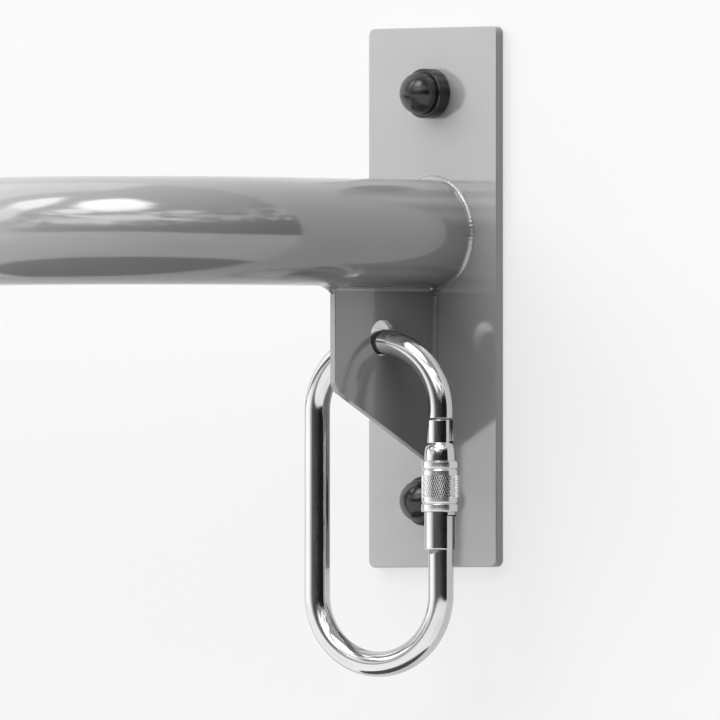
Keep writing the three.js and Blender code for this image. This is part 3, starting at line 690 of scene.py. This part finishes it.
def plate_bead():
    """Down one side of the gusset, round its foot and up the other side."""
    section = hollow(PLATE_BEAD_LEG, PLATE_BEAD_LEG)
    half, turn_steps, turn_pitch = GUSSET_HALF, 24, 0.2
    rows = [(Vector((half, 0, z)), ACROSS, -z) for z in foot_path(BEAD_TOP, BEAD_LOW, 220)]
    place = rows[-1][2]
    for step in range(1, turn_steps):
        a = math.pi * step / turn_steps
        base = Vector((half * math.cos(a), 0, BEAD_LOW - BEAD_TOE * math.sin(a)))
        rows.append((base, Vector((math.cos(a), 0, -math.sin(a))), place + step * turn_pitch))
    rows += [(Vector((-half, 0, z)), -ACROSS, -z) for z in foot_path(BEAD_LOW, BEAD_TOP, 220)]
    sections = []
    for base, away, where in rows:
        points = [(base + away * (out + extra), up + extra) for out, up, extra in rippled(section, ripple(where))]
        sections.append([(point.x, -PLATE_THICKNESS - lift, point.z) for point, lift in points])
    return strand(sections)


def tube_under(x):
    return -math.sqrt(TUBE_RADIUS ** 2 - x * x)


def under_bead():
    """Along one side of the gusset under the tube, round its front edge and back."""
    half, turn_steps, turn_pitch = GUSSET_HALF, 30, 0.3
    back, front = -PLATE_THICKNESS - BEAD_BACK, -PLATE_THICKNESS - GUSSET_DEPTH
    plain = WELD_LEG, WELD_LEG, WELD_POWER
    rows = [(Vector((half, y, 0)), ACROSS, y, *plain) for y in foot_path(back, front + BEAD_FRONT, 180)]
    for step in range(1, turn_steps):
        a = math.pi * step / turn_steps
        grow = math.sin(a) ** 1.5
        base = Vector((half * math.cos(a), front + BEAD_FRONT - BEAD_FRONT * math.sin(a) ** 0.5, 0))
        away = Vector((math.cos(a), -math.sin(a), 0))
        leg_out, leg_down = WELD_LEG + FRONT_BEAD_OUT * grow, WELD_LEG + FRONT_BEAD_DOWN * grow
        power = WELD_POWER - FRONT_BEAD_FULLER * grow
        rows.append((base, away, front + step * turn_pitch, leg_out, leg_down, power))
    rows += [(Vector((-half, y, 0)), -ACROSS, y, *plain) for y in foot_path(front + BEAD_FRONT, back, 180)]
    sections = []
    for base, away, where, leg_out, leg_down, power in rows:
        section = rippled(hollow(leg_out, leg_down, power=power), ripple(where, height=0.04))
        points = [(base + away * (out + extra), down + extra) for out, down, extra in section]
        sections.append([(point.x, point.y, tube_under(point.x) - drop) for point, drop in points])
    return strand(sections)


both_ends("tube_weld", tube_bead(), weld_coat, "weld", sharp=60)
both_ends("gusset_plate_weld", plate_bead(), fillet_coat, "weld", sharp=60)
both_ends("gusset_tube_weld", under_bead(), weld_coat, "weld", sharp=60)


# ------------ wall fixings
def nut_cap():
    """A push-on cap: dome over a skirt, with room for the stud, the nut and the washer (radius, height)."""
    centre, dome, base, ledge = 6.5, 8.406, 9.756, 5.9
    stud_room, nut_room, washer_room = 4.3, 7.6, 8.3
    ceiling, nut_top, washer_top = 10.9, 8.4, 1.9
    outside = rounded([(washer_room, 0), (base, 0, 0.3), (base, ledge, 0.55), (dome, ledge, 0)], 0, closed=False)
    outside += arc(0, centre, dome, 0.0, QUARTER, 24)[:-1] + [(0, centre + dome)]
    inside = [(0, ceiling), (stud_room, ceiling), (stud_room, nut_top), (nut_room, nut_top), (nut_room, washer_top),
              (washer_room, washer_top), (washer_room, 0)]
    return lathe(inside + outside[1:], 96)


STUD_RADIUS, NECK_RADIUS, THREAD_ROOT = 4, 3, 3.5
STUD_END, STUD_TIP, THREAD_START, THREAD_END = -57.99, 14.6, 4.5, 13.8
NECK_IN, NECK_OUT = -53, -44
THREAD_PITCH, THREAD_TURNS = 1.25, 7
CLIP_BORE, CLIP_SLIT, CLIP_NEAR, CLIP_FAR = 3.2, 2.2, 44.3, 52.7


def anchor_stud():
    """A wedge anchor: cone and neck in the wall, plain shank, and a thread that carries the nut (radius, height)."""
    profile = [(0, STUD_END), (3.7, STUD_END), (STUD_RADIUS, -57.6), (NECK_RADIUS, NECK_IN), (NECK_RADIUS, NECK_OUT),
               (STUD_RADIUS, NECK_OUT + 1), (STUD_RADIUS, THREAD_START)]
    for turn in range(THREAD_TURNS):
        low = THREAD_START + 0.5 + turn * THREAD_PITCH
        profile += [(STUD_RADIUS, low)] + [(THREAD_ROOT, low + THREAD_PITCH * share) for share in (0.45, 0.55)]
    profile += [(STUD_RADIUS, THREAD_END), (3.2, STUD_TIP), (0, STUD_TIP)]
    return lathe(profile, 64)


def expansion_clip():
    slit = CLIP_SLIT / (STUD_RADIUS + CLIP_BORE)
    outline = arc(0, 0, STUD_RADIUS, slit, FULL - slit, 72) + arc(0, 0, CLIP_BORE, FULL - slit, slit, 72)
    return slab(outline, CLIP_NEAR, CLIP_FAR)


cap, stud, clip = nut_cap(), anchor_stud(), expansion_clip()
for level, height in BOLTS.items():
    suffix = "_" + level
    placed = shifted(standing_out(cap, height), y=-PLATE_THICKNESS)
    both_ends("nut_cap", placed, black, "black_plastic", suffix=suffix)
    both_ends("anchor_stud", standing_out(stud, height), zinc, "zinc_steel", suffix=suffix)
    both_ends("expansion_clip", shifted(clip, z=height), zinc, "zinc_steel", suffix=suffix, bevel=0.12, sharp=40)


# ------------ carabiners, in a frame of their own at the pivot
ROUND, BEND_PARTS, PIN_SIDES = 96, 96, 40
SLOT_HALF, TONGUE_HALF, GROOVE_HALF = 3.7, 3.5, 1.4
FORK_HALF, HOOK_HALF = 1.75, 1.55
CUT_REACH = 9
SWING_GAP = 0.12


def rod_stations():
    side_axis, nose_share, nose_rounding = Vector((0, 1, 0)), 0.95, 0.25
    stations = [(Vector((GATE_SIDE, 0, NOSE_END)), ACROSS, side_axis, nose_share)]

    def add(x, z, out):
        stations.append((Vector((x, 0, z)), out, side_axis, 1))

    add(GATE_SIDE, NOSE_END + nose_rounding, ACROSS)
    add(GATE_SIDE, NOSE_END + 2 * nose_rounding, ACROSS)
    for centre, turned in ((TOP_CENTRE, 0), (BOTTOM_CENTRE, 1)):
        for step in range(BEND_PARTS + 1):
            a = math.pi * (turned + step / BEND_PARTS)
            out = Vector((math.cos(a), 0, math.sin(a)))
            add(-LOOP_SHIFT + LOOP * out.x, centre + LOOP * out.z, out)
    add(GATE_SIDE, TONGUE_TOP, ACROSS)
    return stations


def upright(radius, low, high, x=GATE_AXIS, sides=ROUND):
    return shifted(lathe([(0, low), (radius, low), (radius, high), (0, high)], sides), x=x)


def cross_pin(radius, height, half):
    """A pin across the gate, or its blind bore, so that no end shows on the gate's skin."""
    return slab(circle(GATE_AXIS, height, radius, PIN_SIDES), -half, half)


def box(left, right, low, high, half):
    """A box that goes from left to right of the gate's axis."""
    left, right = GATE_AXIS + left, GATE_AXIS + right
    return slab([(left, low), (right, low), (right, high), (left, high)], -half, half)


def nose_hook():
    neck, seat, inside_rod = 2.4, 1.9, 0.03
    inner, outer = GATE_AXIS - neck, GATE_AXIS + WEB_OUT
    notch = arc(GATE_AXIS, LATCH, seat, QUARTER, -QUARTER, 20)
    outline = rounded([(inner, NOSE_END + 1), (inner, LATCH + seat, 0.3)], 0, 3, closed=False) + notch
    outline += rounded([
        (inner + 2, LATCH - seat, 0), (inner, LATCH - seat, 0.4), (inner, LIP_END, 0.7), (outer, LIP_END, 0.5),
        (outer, NOSE_END + 1, 0),
    ], 0, closed=False)[1:]
    rod = upright(ROD - inside_rod, LIP_END - 1, NOSE_END + 2, GATE_SIDE)
    return carved("nose", slab(outline, -HOOK_HALF, HOOK_HALF), [(KEEP, rod)])


def carabiner_body():
    """The rod, its hook at the nose, and the hinge tongue with room for the gate to swing round it."""
    reach = math.hypot(math.sqrt(BARREL ** 2 - SLOT_HALF ** 2), HINGE - BARREL_BOTTOM) + SWING_GAP
    foot = BARREL_BOTTOM - SWING_GAP
    flat = arc(GATE_AXIS, HINGE, reach, math.pi, math.radians(259), 32)
    flat += [(GATE_AXIS + 3, foot), (GATE_AXIS + reach, foot), (GATE_AXIS + reach, TONGUE_TOP + 1),
             (GATE_AXIS - reach, TONGUE_TOP + 1)]
    top_radius, beside, above = 6.93, 9.1, 1.3
    corner = arc(GATE_AXIS, HINGE, top_radius, QUARTER - 0.02, math.pi, 24)
    corner += [(GATE_AXIS - beside, HINGE), (GATE_AXIS - beside, TONGUE_TOP + above),
               (GATE_AXIS + 0.14, TONGUE_TOP + above)]
    return carved("body", sweep(rod_stations(), ROD, ROUND), [
        (JOIN, nose_hook()),
        (CUT, slab(flat, TONGUE_HALF, 11)),
        (CUT, slab(flat, -11, -TONGUE_HALF)),
        (CUT, slab(corner, -12, 12)),
        (CUT, box(-9.6, 3, HINGE + 3.9, TONGUE_TOP + 1.7, GROOVE_HALF)),
        (CUT, cross_pin(HINGE_PIN + PIN_FIT, HINGE, CUT_REACH)),
    ])


def gate_profile():
    """Barrel with a fine thread where the sleeve runs, a rounded shoulder and the slim fork (radius, height)."""
    pitch, turns, depth, thread_low = 1.0, 16, 0.28, -65.6
    shoulder_steps, shoulder_length, shoulder_scale = 28, 7.2, 1.7
    foot = [(0, BARREL_BOTTOM), (BARREL, BARREL_BOTTOM, 0.35), (BARREL, BARREL_BOTTOM + 0.6, 0)]
    profile = rounded(foot, 0, closed=False) + [(BARREL, thread_low - 0.6)]
    for turn in range(turns):
        low = thread_low + turn * pitch
        profile += [(BARREL, low), (BARREL - depth, low + 0.42), (BARREL - depth, low + 0.58)]
    profile += [(BARREL, thread_low + turns * pitch)]
    for step in range(shoulder_steps):
        down = shoulder_length * (1 - step / shoulder_steps) ** 1.4
        profile.append((BARREL - (BARREL - FORK_FOOT) * math.exp(-down / shoulder_scale), SHOULDER - down))
    profile += rounded([
        (FORK_FOOT, SHOULDER), (FORK_FOOT - 0.01, SHOULDER + 0.25, 0), (FORK_TOP, GATE_TOP - 0.6, 0),
        (FORK_TOP, GATE_TOP, 0.3), (0, GATE_TOP),
    ], 0, 5, closed=False)
    return profile


def carabiner_gate():
    """The gate: a fork for the hook on top, a slot for the tongue below, and a bore for spring and plunger."""
    spring_bore, bore_depth = 2.4, 19.3
    relief = slab([
        (GATE_AXIS - 4.5, GATE_TOP + 1), (GATE_AXIS - 5.5, SHOULDER + 1.2), (GATE_AXIS - CUT_REACH, SHOULDER + 1.2),
        (GATE_AXIS - CUT_REACH, GATE_TOP + 1),
    ], -CUT_REACH, CUT_REACH)
    return carved("gate", shifted(lathe(gate_profile(), ROUND), x=GATE_AXIS), [
        (CUT, box(-CUT_REACH, CUT_REACH, SHOULDER, GATE_TOP + 1, FORK_HALF)),
        (CUT, box(-CUT_REACH, CUT_REACH, BARREL_BOTTOM - 1, SLOT_FLOOR, SLOT_HALF)),
        (CUT, relief),
        (CUT, upright(spring_bore, SLOT_FLOOR - 1, SLOT_FLOOR + bore_depth, sides=32)),
        (CUT, cross_pin(HINGE_PIN + PIN_FIT, HINGE, HINGE_PIN_HALF + PIN_END_FIT)),
        (CUT, cross_pin(LATCH_PIN + PIN_FIT, LATCH, LATCH_PIN_HALF + PIN_END_FIT)),
    ])


def screw_sleeve():
    """Two plain bands and a diamond knurl between them: flat-topped diamonds with grooves of their own faces."""
    def at(depth):
        return SLEEVE_TOP - depth

    knurl_low = SLEEVE_LENGTH - KNURL_IN
    rim = SLEEVE - 0.02
    step, band, waist = rim - 0.45, rim - 0.1, rim - 0.5
    upper = rounded([
        (SLEEVE_BORE, at(0), 0.1), (step, at(0), 0.1), (step, at(0.4), 0), (rim, at(0.45), 0.15),
        (rim, at(3.0), 0.35), (waist, at(3.15), 0.05), (band, at(3.9), 0.25), (band, at(KNURL_IN), 0),
    ], 0, 6, closed=False)
    lower = rounded([
        (band, at(knurl_low), 0), (band, at(16.1), 0.25), (waist, at(16.85), 0.05), (rim, at(17.0), 0.35),
        (rim, at(SLEEVE_LENGTH), 0.45), (SLEEVE_BORE, at(SLEEVE_LENGTH), 0.15),
    ], 0, 6, closed=False)
    cells, rows, share = 52, 8, 0.7
    top, valley = rim - 0.05, rim - 0.23
    inset = (1 - share) / 2
    verts, faces = [], []

    def vertex(turn, radius, height):
        angle = FULL * turn / cells
        verts.append((radius * math.cos(angle), radius * math.sin(angle), height))
        return len(verts) - 1

    turns = [i + part for i in range(cells) for part in (0, inset, 0.5, 1 - inset)]
    rings = [[vertex(turn, radius, height) for turn in turns] for radius, height in lower + upper]

    pitch = (at(KNURL_IN) - at(knurl_low)) / rows
    heights = [at(knurl_low) + row * pitch for row in range(rows + 1)]
    nodes = [[vertex(i + row % 2 / 2, valley, height) for i in range(cells)] for row, height in enumerate(heights)]
    edge_rings = {0: [], rows: []}
    for row, height in enumerate(heights):
        for i in range(cells):
            middle = i + 0.5 + row % 2 / 2
            left_node, right_node = nodes[row][i], nodes[row][(i + 1) % cells]
            left = vertex(middle - share / 2, top, height)
            right = vertex(middle + share / 2, top, height)
            beyond = (i + row % 2) % cells
            if row > 0:
                low, foot = vertex(middle, top, height - share * pitch), nodes[row - 1][beyond]
                faces.extend([(left_node, foot, low, left), (foot, right_node, right, low)])
            else:
                low = vertex(middle, top, height)
            if row < rows:
                high, head = vertex(middle, top, height + share * pitch), nodes[row + 1][beyond]
                faces.extend([(right_node, head, high, right), (head, left_node, left, high)])
            else:
                high = vertex(middle, top, height)
            if row in edge_rings:
                edge_rings[row] += [left_node, left, high if row else low, right]
            faces.append((left, low, right, high))
    rings = [edge_rings[0]] + rings + [edge_rings[rows]]
    for near, far in zip(rings, rings[1:]):
        for side in range(len(near)):
            after = (side + 1) % len(near)
            faces.append((near[side], near[after], far[after], far[side]))
    return shifted((verts, faces), x=GATE_AXIS)


for stem, body, mesh, finish, sharp in (
    ("carabiner_body", "carabiner", carabiner_body(), steel, 32),
    ("carabiner_gate", "gate", carabiner_gate(), steel, 32),
    ("gate_hinge_pin", "gate", cross_pin(HINGE_PIN, HINGE, HINGE_PIN_HALF), steel, 32),
    ("gate_latch_pin", "gate", cross_pin(LATCH_PIN, LATCH, LATCH_PIN_HALF), steel, 32),
    ("screw_sleeve", "sleeve", screw_sleeve(), knurl_steel, 24),
):
    both_ends(stem, hung(mesh), finish, "polished_steel", body=body, sharp=sharp)

# CAD nodes that keep their own shape get a finish: those under the caps and inside the gates
for name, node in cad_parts.items():
    if name.startswith(("washer", "hex_nut")):
        finish = zinc
    elif name.startswith("gate_spring"):
        finish = spring_steel
    elif name.startswith("gate_plunger"):
        finish = steel
    else:
        continue
    node.data.materials.clear()
    node.data.materials.append(finish)


# ------------ the studio: a white wall, a pale floor, soft light
def staged(name, verts, faces, material):
    data = bpy.data.meshes.new(name)
    data.from_pydata([Vector(v) for v in verts], [], faces)
    data.materials.append(material)
    thing = linked(name, data)
    return thing


def seen_share(tree):
    """1 for what the camera, a reflection or glass sees directly, 0 for scattered light."""
    path = tree.node("ShaderNodeLightPath").outputs
    seen = tree.math("MAXIMUM", path["Is Camera Ray"], path["Is Glossy Ray"])
    return tree.math("MAXIMUM", seen, path["Is Transmission Ray"])


def backdrop(name, matt_level, bounce_level, glow_level):
    """A matt ground that keeps the shadow, lifted to white where it is seen. Scattered light finds it at the bounce
    level. Its back is see-through."""
    material = bpy.data.materials.new(name)
    tree = Tree(material)
    matt = tree.node("ShaderNodeBsdfDiffuse")
    tree.feed(matt.inputs["Color"], tree.colours(seen_share(tree), grey(bounce_level), grey(matt_level)))
    glow = tree.node("ShaderNodeEmission")
    tree.feed(glow.inputs["Strength"], tree.math("MULTIPLY", seen_share(tree), glow_level))
    lifted, front = tree.node("ShaderNodeAddShader"), tree.node("ShaderNodeMixShader")
    tree.links.new(matt.outputs[0], lifted.inputs[0])
    tree.links.new(glow.outputs[0], lifted.inputs[1])
    back = tree.node("ShaderNodeNewGeometry").outputs["Backfacing"]
    camera_ray = tree.node("ShaderNodeLightPath").outputs["Is Camera Ray"]
    tree.feed(front.inputs[0], tree.math("MULTIPLY", back, camera_ray))
    tree.links.new(lifted.outputs[0], front.inputs[1])
    tree.links.new(tree.node("ShaderNodeBsdfTransparent").outputs[0], front.inputs[2])
    tree.links.new(front.outputs[0], tree.node("ShaderNodeOutputMaterial").inputs[0])
    return material


WALL = 0.0002
WIDE, FLOOR = 4.0, -1.5
PANEL_HALF_WIDTH, PANEL_HALF_HEIGHT, PANEL_DROP = 0.7, 0.52, 0.055
# The part of the wall that reflections show, with its right-hand corners cut off
PANEL = [(-0.69, -0.57), (0.5, -0.57), (0.62, -0.44), (0.675, -0.34), (0.69, -0.2), (0.69, 0.25), (0.63, 0.335),
         (0.52, 0.4), (0.43, 0.46), (-0.69, 0.46)]
wall_white = backdrop("wall_white", matt_level=0.3, bounce_level=0.24, glow_level=0.65)
floor_pale = backdrop("floor_pale", matt_level=0.22, bounce_level=0.33, glow_level=0.7)
panel = [(x, WALL, z) for x, z in PANEL]
count = len(panel)
staged("wall_panel", panel, [tuple(range(count))], wall_white)
rim = [
    (x * WIDE / PANEL_HALF_WIDTH, WALL, (z + PANEL_DROP) * WIDE / PANEL_HALF_HEIGHT if z > 0 else FLOOR)
    for x, z in PANEL
]
around = [(i, (i + 1) % count, count + (i + 1) % count, count + i) for i in range(count)]
staged("wall_around", panel + rim, around, wall_white).visible_glossy = False
floor = [(-WIDE, -WIDE, FLOOR), (WIDE, -WIDE, FLOOR), (WIDE, WIDE, FLOOR), (-WIDE, WIDE, FLOOR)]
staged("floor", floor, [(0, 1, 2, 3)], floor_pale).visible_glossy = False


# The tent's bright clouds: azimuth, height, half width and half height in degrees, then brightness
CLOUDS = (
    (26.5, 54.0, 23.0, 15.0, 6.5), (-24.0, 50.0, 11.0, 15.0, 4.6), (-27.0, 28.0, 8.0, 13.0, 2.6),
    (9.0, 38.5, 10.0, 5.0, 4.0), (35.0, 25.5, 17.0, 6.0, 3.2), (64.0, 37.5, 8.0, 4.0, 2.4),
    (13.0, 18.0, 12.0, 5.0, 2.4), (81.0, 17.5, 7.0, 3.0, 1.6),
)
CLOUD_BLUR = 0.25
# The planes through the tent's middle that bound its bright left side: from the left horizon to the wall's top
FIELD_PLANES = (-0.666, 0.743, -0.074), (-0.934, -0.324, -0.146)
FIELD_LEVEL, TREE_LEVEL, TREE_GAP_LEVEL = 1.55, 0.25, 1.5
SKY_LEVELS = 0.6, 0.5
STREAK_LEVELS = 4.2, 1.5
BELT_LEFT, BELT_MIDDLE, BELT_RIGHT, BELT_BACK = 1.8, 0.08, 0.015, 1.25
GROUND_LEVELS, GROUND_LEFT = (1.45, 1.3), 1.5
MAT_LEVEL, MAT_RADIUS, MAT_BLUR, MAT_PLACE = 0.12, 0.7, 0.035, (0.1, 0.05)
TENT_RADIUS, TENT_PLACE = 9, (0.42, -0.1, 0)


def room():
    """A tent of soft light round the object, which only reflections see: a fair sky with bright clouds over a mottled
    skyline, a dark belt at eye height, pale ground and a dark mat underneath."""
    material = bpy.data.materials.new("tent_light")
    tree = Tree(material)
    unit = tree.node("ShaderNodeVectorMath", operation="NORMALIZE")
    tree.feed(unit.inputs[0], tree.object_place())
    toward = unit.outputs[0]
    x, y, z = tree.parts(toward)
    azimuth = tree.product(tree.math("ARCTAN2", x, tree.product(y, -1.0)), 180 / math.pi)
    height = tree.product(tree.math("ARCSINE", z), 180 / math.pi)
    leaf = tree.noise(toward, scale=9.0, detail=4.0, roughness=0.65)
    crinkled = tree.total(height, tree.span(leaf, 0.2, 0.8, -9.0, 9.0))
    right_share = tree.span(azimuth, 0.0, 70.0)

    def cloud(centre_azimuth, centre_height, half_width, half_height):
        dx = tree.math("DIVIDE", tree.math("SUBTRACT", azimuth, centre_azimuth), half_width)
        dy = tree.math("DIVIDE", tree.math("SUBTRACT", height, centre_height), half_height)
        away = tree.total(tree.length(dx, dy), tree.span(leaf, 0.25, 0.75, -0.12, 0.12))
        return tree.span(away, 1 + CLOUD_BLUR, 1 - CLOUD_BLUR)

    def below(line, low, high, number=crinkled):
        return tree.span(tree.math("SUBTRACT", number, line), high, low)

    # The left and back are a large bright field, the rest a sky over treetops, with streaks and clouds
    field = tree.product(*[tree.span(tree.dot(toward, plane), -0.03, 0.01) for plane in FIELD_PLANES])
    sky = tree.mix(field, tree.mix(right_share, *SKY_LEVELS), FIELD_LEVEL)
    trees = tree.mix(tree.span(leaf, 0.47, 0.6), TREE_LEVEL, TREE_GAP_LEVEL)
    tree_top = tree.span(azimuth, -20.0, 110.0, 30.0, 44.0)
    level = tree.mix(below(tree_top, -6.0, 6.0), sky, tree.mix(field, trees, sky))
    streaky = tree.node("ShaderNodeCombineXYZ")
    tree.feed(streaky.inputs[0], tree.product(azimuth, 0.055))
    tree.feed(streaky.inputs[1], tree.product(height, 0.2))
    streaks = tree.product(
        tree.span(tree.noise(streaky.outputs[0], scale=1.0, detail=3.0, roughness=0.55), 0.49, 0.62),
        tree.span(height, 8.0, 14.0), tree.span(height, 48.0, 36.0),
        tree.span(azimuth, -12.0, 0.0), tree.span(azimuth, 112.0, 90.0),
    )
    level = tree.mix(streaks, level, tree.span(azimuth, 25.0, 95.0, *STREAK_LEVELS))
    for *facts, strength in CLOUDS:
        level = tree.mix(cloud(*facts), level, strength)

    # At eye height: bright on the left, then falling to a dark belt over pale ground
    belt = tree.mix(tree.span(azimuth, -46.0, 5.0), BELT_LEFT, BELT_MIDDLE)
    belt = tree.mix(right_share, belt, BELT_RIGHT)
    belt = tree.mix(tree.span(azimuth, -60.0, -100.0), belt, BELT_BACK)
    belt_top = tree.span(azimuth, 10.0, 90.0, 8.0, 20.0)
    belt_foot = tree.span(azimuth, 40.0, 85.0, -3.6, -7.5)
    level = tree.mix(below(belt_top, -4.0, 4.0), level, belt)
    ground = tree.mix(right_share, *GROUND_LEVELS)
    ground = tree.mix(tree.span(azimuth, -20.0, -70.0), ground, GROUND_LEFT)
    level = tree.mix(below(belt_foot, -1.2, 0.8, number=height), level, ground)

    # The round dark mat, measured on the ground plane
    depth = tree.math("MAXIMUM", tree.product(z, -1.0), 0.01)
    mat_x = tree.total(tree.math("DIVIDE", x, depth), MAT_PLACE[0])
    mat_y = tree.math("SUBTRACT", tree.math("DIVIDE", y, depth), MAT_PLACE[1])
    on_mat = tree.span(tree.length(mat_x, mat_y), MAT_RADIUS + MAT_BLUR, MAT_RADIUS)
    level = tree.mix(tree.product(on_mat, tree.span(height, -20.0, -25.0)), level, MAT_LEVEL)
    level = tree.product(level, tree.span(tree.noise(toward, scale=2.5), 0.3, 0.7, 0.95, 1.05))
    glow = tree.node("ShaderNodeEmission")
    low_tint, high_tint = grey(1.0, (1.0, 0.995, 0.975)), grey(1.0, (1.0, 0.99, 1.0))
    tree.feed(glow.inputs["Color"], tree.colours(tree.span(height, -2.0, 20.0), low_tint, high_tint))
    tree.feed(glow.inputs["Strength"], level)
    tree.links.new(glow.outputs[0], tree.node("ShaderNodeOutputMaterial").inputs[0])

    rings = [QUARTER * (i / 16 - 1) for i in range(1, 32)]
    profile = [(TENT_RADIUS * math.cos(a), TENT_RADIUS * math.sin(a)) for a in rings]
    verts, faces = lathe([(0, -TENT_RADIUS)] + profile + [(0, TENT_RADIUS)], 64)
    tent = staged("light_tent", verts, faces, material)
    tent.location = TENT_PLACE
    tent.visible_camera = tent.visible_diffuse = tent.visible_shadow = tent.visible_transmission = False


room()


# ------------ light
KEY_PLACE, KEY_TARGET, KEY_SIZE, KEY_POWER = Vector((-3.03, -2.89, 2.35)), Vector((0.35, -0.05, -0.05)), 3.0, 98
SIDE_LEVELS, TOP_LEVELS, SEEN_LEVEL = (1.18, 0.06), (3.3, 1.7), 0.95  # the world's, from left to right

lamp = bpy.data.lights.new("key", "AREA")
lamp.shape, lamp.size, lamp.energy = "SQUARE", KEY_SIZE, KEY_POWER
key = linked("key", lamp)
key.location = KEY_PLACE
key.rotation_mode = "QUATERNION"
key.rotation_quaternion = (KEY_TARGET - KEY_PLACE).to_track_quat("-Z", "Y")
key.visible_glossy = False

world = bpy.data.worlds.new("studio")
bpy.context.scene.world = world
sky = Tree(world)
light = sky.node("ShaderNodeBackground")
light.inputs["Color"].default_value = grey(1.0)
right, _, up = sky.parts(sky.node("ShaderNodeTexCoord").outputs["Generated"])
side_level = sky.span(right, -0.6, 0.3, *SIDE_LEVELS)
top_level = sky.span(right, -0.45, 0.35, *TOP_LEVELS)
level = sky.mix(sky.span(up, 0.25, 0.85), side_level, top_level)
sky.feed(light.inputs["Strength"], sky.mix(seen_share(sky), level, SEEN_LEVEL))
sky.links.new(light.outputs[0], sky.node("ShaderNodeOutputWorld").inputs[0])

bpy.context.scene.view_settings.view_transform = "Standard"
